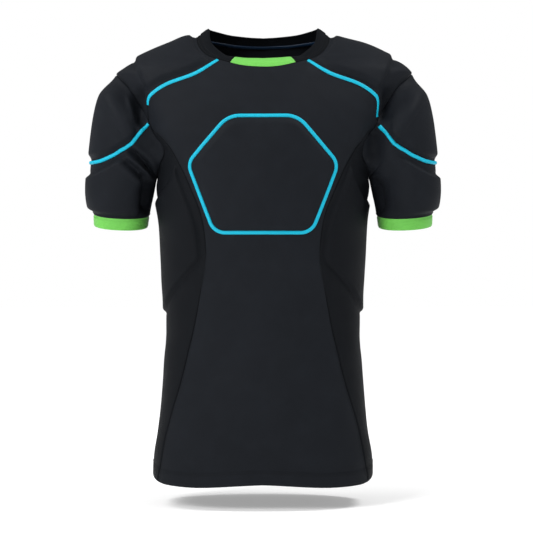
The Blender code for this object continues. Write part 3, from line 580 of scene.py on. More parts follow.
def collar_edge(angle):
    x, y = plan_loop(angle, *COLLAR_TOP_PLAN)
    folded = 180 - np.abs(180 - np.mod(angle, 360))
    return np.stack([x, y, table_curve(COLLAR_TOP, folded)[..., 0]], axis=-1)


def hem_height(turn):
    return table_curve(HEM, np.degrees(turn))[..., 0]


def coons(bottom, top, left, right, u, v):
    """Fills a four-sided outline. bottom and top run left to right, left and right run bottom to top."""
    u = u[None, :, None]
    v = v[:, None, None]
    between = (1 - v) * bottom[None] + v * top[None] + (1 - u) * left[:, None] + u * right[:, None]
    corners = (1 - u) * (1 - v) * bottom[0] + u * (1 - v) * bottom[-1]
    return between - corners - (1 - u) * v * top[0] - u * v * top[-1]


def inward(edge, next_row):
    """Unit moves from an edge into its panel, square to the edge."""
    along = unit(np.gradient(edge, axis=0))
    moves = next_row - edge
    return unit(moves - (moves * along).sum(-1, keepdims=True) * along)


def pulled_in(grid, sides="btlr", gap=SEAM_GAP / 2):
    """Moves a panel's edge points into it by half a seam's gap, on the bottom, top, left or right."""
    grid = grid.copy()
    edges = {
        "b": (grid[0], grid[1]),
        "t": (grid[-1], grid[-2]),
        "l": (grid[:, 0], grid[:, 1]),
        "r": (grid[:, -1], grid[:, -2]),
    }
    moves = {side: gap * inward(*edges[side]) for side in sides}
    for side in sides:
        edges[side][0][...] += moves[side]
    return grid


def edge_distances(points):
    """Distances from a grid's bottom, top, left and right edges along its own lines."""
    down = np.linalg.norm(np.diff(points, axis=0), axis=2)
    over = np.linalg.norm(np.diff(points, axis=1), axis=2)
    along = np.concatenate([np.zeros((1, points.shape[1])), np.cumsum(down, axis=0)])
    across = np.concatenate([np.zeros((points.shape[0], 1)), np.cumsum(over, axis=1)], axis=1)
    return {"b": along, "t": along[-1:] - along, "l": across, "r": across[:, -1:] - across}


def crumple(points, normals):
    """How far the cloth stands out of its smooth form, in folds and soft drape."""
    front = ramp(-normals[..., 1], 0.0, 0.40)
    shift = np.zeros(points.shape[:-1])
    flat = points[..., [0, 2]]
    for x0, z0, x1, z1, bow, width, depth in FOLDS:
        start = np.array([x0, z0])
        run = np.array([x1, z1]) - start
        length = math.hypot(*run)
        across = np.array([-run[1], run[0]]) / length
        along = (flat - start) @ run / length**2
        off = (flat - start) @ across - bow * 4 * along * (1 - along)
        fade = ramp(along, -0.12, 0.25) * (1 - ramp(along, 0.75, 1.12)) * front
        valley = np.exp(-((off / width) ** 2))
        lips = np.exp(-(((np.abs(off) - 2.0 * width) / width) ** 2))
        shift -= depth * fade * (valley - FOLD_LIPS * min(1.0, FOLD_LIP_WIDTH / width) ** 2 * lips)
    x, y, z = points[..., 0], points[..., 1], points[..., 2]
    for at_x, at_z, across, down, height in SWELLS:
        shift += height * np.exp(-(((x - at_x) / across) ** 2) - ((z - at_z) / down) ** 2)
    around = np.arctan2(x, -y) * DRAPE_RADIUS
    body = 1 - ramp(np.abs(x), *DRAPE_FADE)
    for across, down, lean, phase, height in DRAPE:
        bend = np.sin(2 * math.pi * z / down + phase)
        wave = np.sin(2 * math.pi * (around / across + lean * bend) + phase * 1.7)
        shift += height * body * wave * (0.6 + 0.4 * bend)
    return shift


def pad_rise(pad, to_sides, to_ends):
    """A foam pad's soft step up from its outline, and the sewn groove round it.

    Distances from the side edges and from the pad's ends are positive inside.
    """
    margin, corner, bevel, depth = PADS[pad]
    to_sides = to_sides - margin
    inside = corner - np.hypot(np.maximum(corner - to_sides, 0), np.maximum(corner - to_ends, 0))
    crown = 0.10 * (1 - np.exp(-np.clip(np.minimum(to_sides, to_ends) - bevel, 0, None) / 0.02))
    groove = np.exp(-(((inside + PAD_GROOVE_WIDTH) / PAD_GROOVE_WIDTH) ** 2))
    return ramp(inside, 0, bevel) * (0.90 + crown), depth * groove


def finish_mesh(name, points, quads, finish, maps, smooth=72):
    """A mesh object of quads with its cloth map, turned so that its faces point out."""
    corners = points[quads]
    volume = np.einsum("ij,ij->i", corners[:, 0], np.cross(corners[:, 1], corners[:, 2])).sum()
    volume += np.einsum("ij,ij->i", corners[:, 0], np.cross(corners[:, 2], corners[:, 3])).sum()
    if volume < 0:
        quads = quads[:, ::-1]
        maps = maps[:, ::-1]
    mesh = bpy.data.meshes.new(name)
    mesh.vertices.add(len(points))
    mesh.vertices.foreach_set("co", np.ascontiguousarray(points, np.float32).ravel())
    mesh.loops.add(quads.size)
    mesh.loops.foreach_set("vertex_index", np.ascontiguousarray(quads, np.int32).ravel())
    mesh.polygons.add(len(quads))
    mesh.polygons.foreach_set("loop_start", np.arange(0, quads.size, 4, dtype=np.int32))
    mesh.update(calc_edges=True)
    layer = mesh.uv_layers.new(name="cloth")
    layer.data.foreach_set("uv", np.ascontiguousarray(maps, np.float32).ravel())
    mesh.materials.append(finish)
    mesh.shade_smooth()
    mesh.set_sharp_from_angle(angle=math.radians(smooth))
    mesh.validate()
    made = bpy.data.objects.new(name, mesh)
    bpy.context.scene.collection.objects.link(made)
    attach(made, "root")
    return made


def grid_quads(rows, columns, round_columns=False, round_rows=False):
    """The quads of a grid of points, row after row, which may close round on itself."""
    last_row = rows if round_rows else rows - 1
    last_column = columns if round_columns else columns - 1
    row, column = np.meshgrid(np.arange(last_row), np.arange(last_column), indexing="ij")
    after = (column + 1) % columns
    near = row * columns
    far = (row + 1) % rows * columns
    return np.stack([near + column, near + after, far + after, far + column], axis=-1).reshape(-1, 4)


def grid_rim(rows, columns, closed):
    """The pairs of point numbers along a grid's rim."""
    along = np.arange(columns if closed else columns - 1)
    ahead = (along + 1) % columns
    top = (rows - 1) * columns
    rim = [np.stack([along, ahead], axis=1), np.stack([top + ahead, top + along], axis=1)]
    if not closed:
        down = np.arange(rows - 1) * columns
        rim.append(np.stack([down + columns, down], axis=1))
        rim.append(np.stack([down + columns - 1, down + 2 * columns - 1], axis=1))
    return np.concatenate(rim)


PANELS = {}


def add_panel(name, surface, finish, thickness, relief, side=None, closed=False, rolled="btlr", roll=ROLL):
    """A cloth panel as a closed thin wall, plain inside, with its relief outside and its edges rolled over.

    surface is its points and normals, for the wearer's left where the panel has a side.
    """
    points, normals = surface
    if side:
        name = f"{name}_{side}"
        points, normals = (mirrored(part, SIDES[side]) for part in surface)
    rows, columns = points.shape[:2]
    edges = edge_distances(np.concatenate([points, points[:, :1]], axis=1) if closed else points)
    sink = np.zeros((rows, columns))
    for edge in rolled:
        near = np.clip(1 - edges[edge][:, :columns] / ROLL_WIDTH, 0, 1)
        sink = np.maximum(sink, near**1.5)
    shift = crumple(points, normals)
    outside = points + normals * (relief + shift - min(roll, 0.8 * thickness) * sink)[..., None]
    inside = points + normals * (shift - thickness * (1 + 0.25 * sink))[..., None]
    quads = grid_quads(rows, columns, closed)
    rim = grid_rim(rows, columns, closed)
    total = rows * columns
    wall = np.stack([rim[:, 1], rim[:, 0], rim[:, 0] + total, rim[:, 1] + total], axis=1)
    faces = np.concatenate([quads, quads[:, ::-1] + total, wall])
    flat = np.stack([edges["l"], edges["b"]], axis=-1)
    if closed:
        wide = np.stack([quads % columns, quads // columns], axis=-1)
        wide[:, 1:3, 0] = wide[:, :1, 0] + 1
        quad_map = flat[wide[..., 1], wide[..., 0]]
    else:
        quad_map = flat.reshape(-1, 2)[quads]
    wall_map = flat[:, :columns].reshape(-1, 2)[wall % total]
    maps = np.concatenate([quad_map, quad_map[:, ::-1], wall_map])
    layers = np.concatenate([outside.reshape(-1, 3), inside.reshape(-1, 3)])
    made = finish_mesh(f"{name}_cloth", layers, faces, finish, maps)
    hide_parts(name)
    PANELS[name] = {"points": outside, "normals": normals, "edges": edges, "object": made, "closed": closed}
    return made


def strip_sides(line, normals, closed):
    """The direction across a line on a surface, at each of its points."""
    ahead = np.roll(line, -1, axis=0) - np.roll(line, 1, axis=0)
    if not closed:
        ahead[0] = line[1] - line[0]
        ahead[-1] = line[-1] - line[-2]
    return unit(np.cross(normals, ahead))


# Cross-section of the piping: place across, height, share of the thread ribs
PIPING_PROFILE = (
    (-0.50, 0.00, 0.0),
    (-0.47, 0.42, 0.4),
    (-0.36, 0.78, 1.0),
    (-0.18, 0.95, 1.0),
    (0.00, 1.00, 1.0),
    (0.18, 0.95, 1.0),
    (0.36, 0.78, 1.0),
    (0.47, 0.42, 0.4),
    (0.50, 0.00, 0.0),
)
RIB_PITCH = 0.0016
RIB_HEIGHT = 0.00012


def add_piping(name, line, normals, finish, sizes, closed=False, settle=None, lift=PIPING_LIFT):
    """A crowned strip of piping with fine cross threads. settle puts points onto a curved surface."""
    width = sizes.piping_width
    across = strip_sides(line, normals, closed) * width
    run = line_run(np.concatenate([line, line[:1]]) if closed else line)
    ribs = np.cos(2 * math.pi * np.round(run[-1] / RIB_PITCH) * run[: len(line)] / run[-1])
    loops = []
    for side, up, thread in PIPING_PROFILE:
        points = line + across * side
        facing = normals
        if settle:
            points, facing = settle(points)
        rise = PIPING_SEAT + (lift + sizes.piping_height) * up
        rise = rise + RIB_HEIGHT * thread * ribs + crumple(points, facing)
        loops.append(points + facing * rise[:, None])
    points = np.stack(loops, axis=1)
    count, corners = points.shape[:2]
    quads = grid_quads(count, corners, True, closed)
    step = np.arange(count if closed else count - 1)
    places = np.array([row[0] for row in PIPING_PROFILE]) * width
    ahead = np.append(places[1:], places[-1])
    begin, stop = run[step][:, None], run[step + 1][:, None]
    ends = [(places, begin), (ahead, begin), (ahead, stop), (places, stop)]
    maps = np.stack([np.stack(np.broadcast_arrays(p[None], r), axis=-1) for p, r in ends], axis=2)
    maps = maps.reshape(-1, 4, 2)
    if not closed:
        caps = []
        for first in (0, (count - 1) * corners):
            for k in range(corners // 2):
                caps.append([first + k, first + k + 1, first + corners - 2 - k, first + corners - 1 - k])
        caps = np.array(caps)
        caps[len(caps) // 2 :] = caps[len(caps) // 2 :, ::-1]
        caps = caps[[len(set(cap)) == 4 for cap in caps.tolist()]]
        quads = np.concatenate([quads, caps[:, ::-1]])
        maps = np.concatenate([maps, np.zeros((len(caps), 4, 2))])
    made = finish_mesh(f"{name}_trim", points.reshape(-1, 3), quads, finish, maps)
    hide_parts(name)
    return made


# One stitch: place along it, height and half width, in shares of its length and thread
STITCH = ((-0.50, -0.5, 0.45), (-0.30, 0.45, 1.0), (0.30, 0.45, 1.0), (0.50, -0.5, 0.45))


def add_thread(name, parts, finish):
    """Lengths of thread, each with its points and quads, joined in one mesh."""
    starts = np.cumsum([0] + [len(points) for points, _ in parts])
    points = np.concatenate([points for points, _ in parts])
    quads = np.concatenate([faces + start for (_, faces), start in zip(parts, starts)])
    turn = np.stack([np.arange(4) % 2, np.arange(4) // 2], axis=1) * THREAD_MAP
    return finish_mesh(name, points, quads, finish, np.broadcast_to(turn, (len(quads), 4, 2)), smooth=80)


def add_stitches(name, lines, finish, length):
    """Rows of sewing: one small thread bar for each stitch along lines on the cloth."""
    bar = np.concatenate([grid_quads(4, 4, True), [(3, 2, 1, 0), (12, 13, 14, 15)]])
    parts = []
    for line, normals in lines:
        run = line_run(line)
        count = int(run[-1] / (length * STITCH_PITCH))
        middle = np.linspace(0, run[-1], count + 1)[:-1] + run[-1] / count / 2
        centre = at_runs(line, run, middle)
        up = unit(at_runs(normals, run, middle))
        ahead = at_runs(line, run, middle + 2e-4) - centre
        ahead = unit(ahead - (ahead * up).sum(-1, keepdims=True) * up)
        side = np.cross(up, ahead)
        rings = []
        for along, high, wide in STITCH:
            spot = centre + ahead * along * length + up * high * STITCH_THREAD
            half = STITCH_THREAD * wide
            rings += [spot + up * half, spot + side * half, spot - up * half, spot - side * half]
        quads = 16 * np.arange(count)[:, None, None] + bar
        parts.append((np.stack(rings, axis=1).reshape(-1, 3), quads.reshape(-1, 4)))
    return add_thread(name, parts, finish)


def add_thread_and_shade_cord(name, lines, finish):
    """A near-black round cord along each line, just under the cloth's edges: partly the seams' overlocking
    thread, partly painted shade in the seams' grooves.
    """
    turns = np.arange(6) * math.pi / 3
    parts = []
    for line, normals in lines:
        side = strip_sides(line, normals, False)
        rings = [line + SEAM_CORD * (math.cos(t) * side + (math.sin(t) - 1) * normals) for t in turns]
        last = 6 * (len(line) - 1)
        caps = [(0, 3, 2, 1), (0, 5, 4, 3)], np.array([(0, 1, 2, 3), (0, 3, 4, 5)]) + last
        quads = np.concatenate([grid_quads(len(line), 6, True), *caps])
        parts.append((np.stack(rings, axis=1).reshape(-1, 3), quads))
    return add_thread(name, parts, finish)


def line_at(name, side, distance, lift=0.0, stop=1.0):
    """A line on a panel's outside at a distance from one of its edges, with its normals."""
    panel = PANELS[name]
    points = panel["points"]
    parts = [points, panel["normals"], panel["edges"][side][:, : points.shape[1]]]
    if side in "lr":
        parts = [np.swapaxes(part, 0, 1) for part in parts]
    if side in "tr":
        parts = [part[::-1] for part in parts]
    points, normals, away = parts
    row = np.clip((away < distance).sum(axis=0), 1, len(away) - 1)
    each = np.arange(away.shape[1])
    t = ((distance - away[row - 1, each]) / (away[row, each] - away[row - 1, each]))[:, None]
    line = points[row - 1, each] * (1 - t) + points[row, each] * t
    facing = unit(normals[row - 1, each] * (1 - t) + normals[row, each] * t)
    if panel["closed"] and side in "bt":
        line = np.concatenate([line, line[:1]])
        facing = np.concatenate([facing, facing[:1]])
    kept = math.ceil(stop * len(line))
    return line[:kept] + facing[:kept] * lift, facing[:kept]


def node(tree, kind, inputs=None, **settings):
    """A shader node with its settings, and its inputs as values or links."""
    made = tree.nodes.new(kind)
    for key, value in settings.items():
        setattr(made, key, value)
    for key, value in (inputs or {}).items():
        if isinstance(value, bpy.types.NodeSocket):
            tree.links.new(value, made.inputs[key])
        else:
            made.inputs[key].default_value = value
    return made


def maths(tree, operation, first, second=0.0, third=0.0):
    made = node(tree, "ShaderNodeMath", {0: first, 1: second, 2: third}, operation=operation)
    return made.outputs[0]


def blend(tree, factor, first, second):
    made = node(tree, "ShaderNodeMix", {0: factor, 6: first, 7: second}, data_type="RGBA")
    return made.outputs[2]


def noise(tree, place, scale, detail):
    made = node(tree, "ShaderNodeTexNoise", {"Vector": place, "Scale": scale, "Detail": detail})
    return made.outputs[0]


LOOK = ("Colour", "Roughness", "Height")


def new_group(name, inputs, outputs=LOOK):
    """An empty shader node group that takes the cloth map, and named colours and values."""
    group = bpy.data.node_groups.new(name, "ShaderNodeTree")
    group.interface.new_socket("Cloth Map", in_out="INPUT", socket_type="NodeSocketVector")
    for label, value in inputs.items():
        kind = "NodeSocketFloat" if isinstance(value, float) else "NodeSocketColor"
        group.interface.new_socket(label, in_out="INPUT", socket_type=kind).default_value = value
    for label in outputs:
        kind = "NodeSocketColor" if label == "Colour" else "NodeSocketFloat"
        group.interface.new_socket(label, in_out="OUTPUT", socket_type=kind)
    given = group.nodes.new("NodeGroupInput").outputs
    out = group.nodes.new("NodeGroupOutput").inputs
    return group, given, out, partial(maths, group)


def stretch_knit_group():
    """Interlock knit: columns of small V stitches, with yarn that varies a little and painted shade in the
    stitches' hollows.
    """
    inputs = {"Yarn": (0.02, 0.02, 0.02, 1), "Stitch Size": 0.0012, "Heather": 0.2}
    group, given, out, calc = new_group("Stretch knit", inputs)
    place = node(group, "ShaderNodeSeparateXYZ", {0: given["Cloth Map"]})
    over = calc("DIVIDE", place.outputs["X"], given["Stitch Size"])
    down = calc("DIVIDE", place.outputs["Y"], given["Stitch Size"])
    leg = calc("ABSOLUTE", calc("SUBTRACT", calc("FRACT", over), 0.5))
    course = calc("FRACT", calc("ADD", calc("MULTIPLY", down, 1.25), leg))
    bar = calc("SINE", calc("MULTIPLY", course, math.pi))
    wale = calc("SINE", calc("MULTIPLY", leg, 2 * math.pi))
    height = calc("MULTIPLY", calc("MULTIPLY_ADD", bar, 0.6, 0.4), wale)
    fine = noise(group, given["Cloth Map"], 700.0, 2.0)
    broad = noise(group, given["Cloth Map"], 14.0, 4.0)
    shade = calc("MULTIPLY_ADD", calc("SUBTRACT", fine, 0.5), 1.6, 1.0)
    shade = calc("MULTIPLY_ADD", calc("SUBTRACT", shade, 1.0), given["Heather"], 1.0)
    wide = calc("MULTIPLY_ADD", calc("SUBTRACT", broad, 0.5), 0.35, 1.0)
    # Painted shade: the raised parts of each stitch are coloured lighter and its hollows darker.
    lit = calc("MULTIPLY_ADD", height, 0.45, 0.78)
    shade = calc("MULTIPLY", calc("MULTIPLY", shade, wide), lit)
    tint = node(group, "ShaderNodeVectorMath", {0: given["Yarn"], "Scale": shade}, operation="SCALE")
    rough = calc("MULTIPLY_ADD", fine, 0.18, 0.52)
    group.links.new(tint.outputs[0], out["Colour"])
    group.links.new(calc("MULTIPLY_ADD", height, -0.06, rough), out["Roughness"])
    group.links.new(calc("MULTIPLY_ADD", fine, 0.35, height), out["Height"])
    return group


def worn_cloth_group():
    """Light wear: soft fading in broad patches and a few specks of lint."""
    inputs = {"Colour": (0.5, 0.5, 0.5, 1), "Faded": (0.06, 0.065, 0.072, 1), "Amount": 0.12}
    group, given, out, calc = new_group("Worn cloth", inputs, ("Colour",))
    patch = noise(group, given["Cloth Map"], 38.0, 5.0)
    speck = node(group, "ShaderNodeTexVoronoi", {"Vector": given["Cloth Map"], "Scale": 210.0})
    lint = calc("LESS_THAN", speck.outputs["Distance"], 0.06)
    soft = node(group, "ShaderNodeMapRange", {0: patch, 1: 0.48, 2: 0.80, 3: 0.0, 4: 1.0})
    faded = calc("MULTIPLY", soft.outputs[0], given["Amount"])
    linty = calc("MULTIPLY", lint, calc("MULTIPLY", given["Amount"], 0.5))
    mask = calc("ADD", faded, linty)
    group.links.new(blend(group, mask, given["Colour"], given["Faded"]), out["Colour"])
    return group


def elastic_weave_group():
    """Woven elastic: fine cords along the band under close crosswise yarns."""
    inputs = {"Yarn": (0.2, 0.8, 0.1, 1), "Shadow": (0.05, 0.3, 0.03, 1), "Cord Size": 0.0011}
    group, given, out, calc = new_group("Elastic weave", inputs)
    place = node(group, "ShaderNodeSeparateXYZ", {0: given["Cloth Map"]})
    over = calc("DIVIDE", place.outputs["X"], calc("MULTIPLY", given["Cord Size"], 0.6))
    down = calc("DIVIDE", place.outputs["Y"], given["Cord Size"])
    cord = calc("ABSOLUTE", calc("SINE", calc("MULTIPLY", down, math.pi)))
    odd = calc("MULTIPLY", calc("FLOOR", down), 0.5)
    pick = calc("ABSOLUTE", calc("SINE", calc("MULTIPLY", calc("ADD", over, odd), math.pi)))
    height = calc("MULTIPLY", cord, calc("MULTIPLY_ADD", pick, 0.45, 0.55))
    dust = noise(group, given["Cloth Map"], 60.0, 4.0)
    mask = calc("MULTIPLY_ADD", height, 0.75, calc("MULTIPLY_ADD", dust, 0.3, 0.10))
    mask = node(group, "ShaderNodeClamp", {0: mask}).outputs[0]
    group.links.new(blend(group, mask, given["Shadow"], given["Yarn"]), out["Colour"])
    group.links.new(calc("MULTIPLY_ADD", dust, 0.2, 0.45), out["Roughness"])
    group.links.new(height, out["Height"])
    return group


def piping_thread_group():
    """Close satin threads that cross the piping at a slant."""
    inputs = {"Thread": (0.0, 0.5, 0.9, 1), "Shadow": (0.0, 0.2, 0.5, 1), "Thread Size": 0.0008}
    group, given, out, calc = new_group("Piping thread", inputs)
    place = node(group, "ShaderNodeSeparateXYZ", {0: given["Cloth Map"]})
    slant = calc("MULTIPLY_ADD", place.outputs["X"], 0.35, place.outputs["Y"])
    turn = calc("MULTIPLY", calc("DIVIDE", slant, given["Thread Size"]), math.pi)
    bar = calc("ABSOLUTE", calc("SINE", turn))
    dust = noise(group, given["Cloth Map"], 90.0, 3.0)
    mask = calc("MULTIPLY_ADD", bar, 0.45, calc("MULTIPLY_ADD", dust, 0.25, 0.42))
    mask = node(group, "ShaderNodeClamp", {0: mask}).outputs[0]
    group.links.new(blend(group, mask, given["Shadow"], given["Thread"]), out["Colour"])
    group.links.new(calc("MULTIPLY_ADD", dust, 0.15, 0.34), out["Roughness"])
    group.links.new(bar, out["Height"])
    return group


GROUP_MAKERS = {
    "Stretch knit": stretch_knit_group,
    "Worn cloth": worn_cloth_group,
    "Elastic weave": elastic_weave_group,
    "Piping thread": piping_thread_group,
}


def group_node(tree, name, inputs):
    shared = bpy.data.node_groups.get(name) or GROUP_MAKERS[name]()
    return node(tree, "ShaderNodeGroup", inputs, node_tree=shared).outputs


def cloth_finish(name, weave, inputs, faded, wear, constants, bump):
    """A finish of one weave with light wear. Its constant values are set on the shader itself."""
    if name in bpy.data.materials:
        return bpy.data.materials[name]
    made = bpy.data.materials.new(name)
    made.use_nodes = True
    tree = made.node_tree
    shader = tree.nodes["Principled BSDF"].inputs
    for key, value in constants.items():
        shader[key].default_value = value
    cloth_map = node(tree, "ShaderNodeUVMap", uv_map="cloth").outputs[0]
    look = group_node(tree, weave, {"Cloth Map": cloth_map, **inputs})
    inputs = {"Cloth Map": cloth_map, "Colour": look["Colour"], "Faded": (*faded, 1), "Amount": wear}
    worn = group_node(tree, "Worn cloth", inputs)
    inputs = {"Height": look["Height"], "Strength": bump[0], "Distance": bump[1]}
    raised = node(tree, "ShaderNodeBump", inputs)
    tree.links.new(worn["Colour"], shader["Base Color"])
    tree.links.new(look["Roughness"], shader["Roughness"])
    tree.links.new(raised.outputs[0], shader["Normal"])
    return made


def shine(sheen, specular, tint=(1, 1, 1, 1)):
    """The shader's constant values for a cloth's sheen and shine."""
    soft = {"Sheen Weight": sheen, "Sheen Roughness": 0.45, "Sheen Tint": tint}
    return {**soft, "Specular IOR Level": specular}


def knit_finish(name, colour, stitch, heather, wear, sheen, specular):
    """Black stretch knit."""
    inputs = {"Yarn": (*colour, 1), "Stitch Size": stitch, "Heather": heather}
    faded = [min(1.0, 2.6 * part) for part in colour]
    constants = shine(sheen, specular, (0.75, 0.80, 0.90, 1))
    return cloth_finish(name, "Stretch knit", inputs, faded, wear, constants, (0.30, 0.0003))


def elastic_finish(name, colour):
    """Lime woven elastic."""
    shadow = (colour[0] * 0.45, colour[1] * 0.55, colour[2] * 0.45, 1)
    inputs = {"Yarn": (*colour, 1), "Shadow": shadow, "Cord Size": 0.0011}
    faded = [0.9 * part for part in colour]
    return cloth_finish(name, "Elastic weave", inputs, faded, 0.2, shine(0.10, 0.30), (0.40, 0.0004))


def piping_finish(name, colour):
    """Cyan satin thread."""
    shadow = (colour[0] * 0.60, colour[1] * 0.60, colour[2] * 0.70, 1)
    inputs = {"Thread": (*colour, 1), "Shadow": shadow, "Thread Size": 0.0008}
    return cloth_finish(name, "Piping thread", inputs, colour, 0.1, shine(0.0, 0.20), (0.25, 0.0002))


def finishes():
    """The vest's finishes by name, in the scene's vest colours."""
    colours = bpy.context.scene.vest_colours
    stitch = bpy.context.scene.vest_sizes.knit_stitch
    return {
        "knit": knit_finish("body_knit", colours.knit, stitch, 0.30, 0.10, 0.010, 0.06),
        "side_knit": knit_finish("side_knit", colours.side_knit, stitch * 0.85, 0.25, 0.08, 0.008, 0.05),
        "thread": knit_finish("sewing_thread", colours.thread, 0.0006, 0.2, 0.05, 0.008, 0.06),
        # The seam cord is partly the thread's own black and partly painted shade: it is far darker than the
        # knit to darken the seams' grooves.
        "seam": knit_finish("seam_cord_and_shade", colours.seam_thread_and_shade, 0.0006, 0.2, 0.02, 0.0, 0.02),
        "collar": knit_finish("collar_knit", colours.collar_knit, stitch * 0.8, 0.25, 0.08, 0.006, 0.04),
        "piping": piping_finish("cyan_piping_thread", colours.piping),
        # The neck tape takes the cyan piping's finish in a colour darkened as painted shade.
        "tape": piping_finish("neck_tape_in_painted_shade", colours.tape),
        "elastic": elastic_finish("green_woven_elastic", colours.elastic),
    }


def side_seam_line(face, step):
    """A side seam on the torso, from the hem to the armhole, as x and z."""
    knots = FRONT_SIDE_SEAM if face > 0 else BACK_SIDE_SEAM
    start = (HEM_SEAM_X, float(hem_height(torso_turn(HEM_SEAM_X, HEM_PLACE, face))))
    end, _, _ = armhole(face * SIDE_SEAM_ANGLE)
    knots = np.concatenate([[start], knots, [end[[0, 2]]]])
    low, high = knots[0, 1], knots[-1, 1]
    hem = bpy.context.scene.vest_sizes.hem_depth
    close = [*SEWN, hem - 0.002, hem - 0.001, hem, hem + 0.001, hem + 0.002]
    heights = low + (high - low) * fine_shares(SIDE_SEAM_LENGTH, step, close, SEWN)
    return np.stack([table_curve(knots[:, ::-1], heights)[:, 0], heights], axis=1)


def shoulder_seam_line(face, shares):
    """A shoulder seam on the torso, from the neckline to the armhole, as x and z."""
    knots = FRONT_SHOULDER_SEAM if face > 0 else BACK_SHOULDER_SEAM
    start = neck_seam(NECK_FRONT_ANGLE if face > 0 else NECK_BACK_ANGLE)
    end, _, _ = armhole(face * SHOULDER_SEAM_ANGLE)
    knots = np.concatenate([[start[[0, 2]]], knots, [end[[0, 2]]]])
    line = spline(knots, np.linspace(0, len(knots) - 1, 160))
    run = line_run(line)
    return at_runs(line, run, shares * run[-1])


def centre_panel_grid(face, step):
    """The front or back panel between its side seams, from one side to the other, bottom to top."""
    seam = side_seam_line(face, step)
    turn, _, _ = armhole(face * np.linspace(SIDE_SEAM_ANGLE, SHOULDER_SEAM_ANGLE, 9)[1:])
    edge = np.concatenate([seam, turn[:, [0, 2]]])
    angles = np.linspace(0, NECK_FRONT_ANGLE, 24) if face > 0 else np.linspace(180, NECK_BACK_ANGLE, 24)
    neck = neck_seam(angles)[:, [0, 2]]
    shoulder = shoulder_seam_line(face, fine_shares(SHOULDER_LENGTH, step, (), SEWN))
    top = np.concatenate([neck, shoulder[1:]])
    u = line_run(top)
    u = u / u[-1]
    v = (edge[:, 1] - edge[0, 1]) / (edge[-1, 1] - edge[0, 1])
    hem_x = u * edge[0, 0]
    hem = np.stack([hem_x, hem_height(torso_turn(hem_x, HEM_PLACE, face))], axis=1)
    middle = np.stack([0 * v, hem[0, 1] + v * (top[0, 1] - hem[0, 1])], axis=1)
    half = coons(hem, top, middle, edge, u, v)
    half = torso_face(half[..., 0], half[..., 1], face)
    return np.concatenate([mirrored(half[:, :0:-1], -1.0), half], axis=1)


def hem_relief(edges, depth):
    """The turned-up hem: the cloth is double below the hem's sewing, which pulls a fine line."""
    below = edges["b"]
    step = HEM_STEP * (1 - ramp(below, depth - 0.0008, depth + 0.0008))
    line = HEM_STEP * np.exp(-(((below - depth + 0.002) / 0.0013) ** 2))
    return step - line


def make_centre_panel(name, face, finish, sizes):
    grid = pulled_in(centre_panel_grid(face, sizes.mesh_step), "tlr")
    surface = creased(grid)
    relief = hem_relief(edge_distances(surface[0]), sizes.hem_depth)
    return add_panel(name, surface, finish, sizes.cloth, relief, rolled="blr")


def side_panel_grid(step):
    """The left side panel from its front seam to its back seam. Its rows dip as the rib pad does."""
    front = side_seam_line(1, step)
    back = side_seam_line(-1, step)
    u = fine_shares(SIDE_PANEL_WIDTH, step, SEWN, SEWN)
    dip = 1 - np.abs(2 * u - 1) ** 1.25
    turn_front = torso_turn(front[:, 0], front[:, 1], 1)[:, None]
    turn_back = torso_turn(back[:, 0], back[:, 1], -1)[:, None]
    turns = turn_front * (1 - u) + turn_back * u
    heights = front[:, 1:] * (1 - u) + back[:, 1:] * u
    angles = SIDE_SEAM_ANGLE + u * (360 - 2 * SIDE_SEAM_ANGLE)
    arm_height, arm_turn, _ = np.moveaxis(spline(ARMHOLE[:, 1:], angles / 30, closed=True), -1, 0)
    hem = hem_height(turns[0])
    from_hem = 1 - ramp(heights, hem.mean(), RIB_PAD_CORNER)
    lowered = heights - RIB_PAD_POINT * dip * (1 - from_hem) + (hem - heights[0]) * from_hem
    to_arm = ramp(front[:, 1], RIB_PAD_CORNER + 0.04, front[-1, 1])[:, None]
    heights = lowered + (arm_height - lowered[-1]) * to_arm
    turns = turns + (np.radians(arm_turn) - turns[-1]) * to_arm
    return torso_around(turns, heights), front[:, 1]


def make_side_panel(side, finish, sizes):
    grid, rise = side_panel_grid(sizes.mesh_step)
    surface = creased(pulled_in(grid, "tlr"))
    edges = edge_distances(surface[0])
    to_ends = np.minimum(rise - RIB_PAD_CORNER, RIB_PAD_TOP - rise)[:, None]
    up, groove = pad_rise("rib", np.minimum(edges["l"], edges["r"]), to_ends)
    relief = sizes.rib_pad * up - groove + hem_relief(edges, sizes.hem_depth)
    return add_panel("side_panel", surface, finish, sizes.cloth, relief, side)


def shoulder_grid(step):
    """The left shoulder panel, from the neck to the armhole, front seam to back seam."""
    v = fine_shares(SHOULDER_LENGTH, step, SEWN, SEWN)
    u = fine_shares(SHOULDER_WIDTH, step, SEWN, SEWN)
    front, back = (torso_face(*shoulder_seam_line(face, v).T, face) for face in (1, -1))
    arm, _, _ = armhole(SHOULDER_SEAM_ANGLE * (1 - 2 * u))
    neck = neck_seam(NECK_FRONT_ANGLE + (NECK_BACK_ANGLE - NECK_FRONT_ANGLE) * u)
    grid = coons(neck, arm, front, back, u, v)
    grid[1:-1, 1:-1] = onto_torso(grid[1:-1, 1:-1])
    return grid


def make_shoulder(side, finish, sizes):
    surface = creased(pulled_in(shoulder_grid(sizes.mesh_step)))
    edges = edge_distances(surface[0])
    to_ends = np.minimum(edges["b"] - SHOULDER_PAD_ENDS[0], edges["t"] - SHOULDER_PAD_ENDS[1])
    up, groove = pad_rise("shoulder", np.minimum(edges["l"], edges["r"]), to_ends)
    relief = sizes.shoulder_pad * up - groove
    return add_panel("shoulder", surface, finish, sizes.cloth, relief, side, rolled="t")


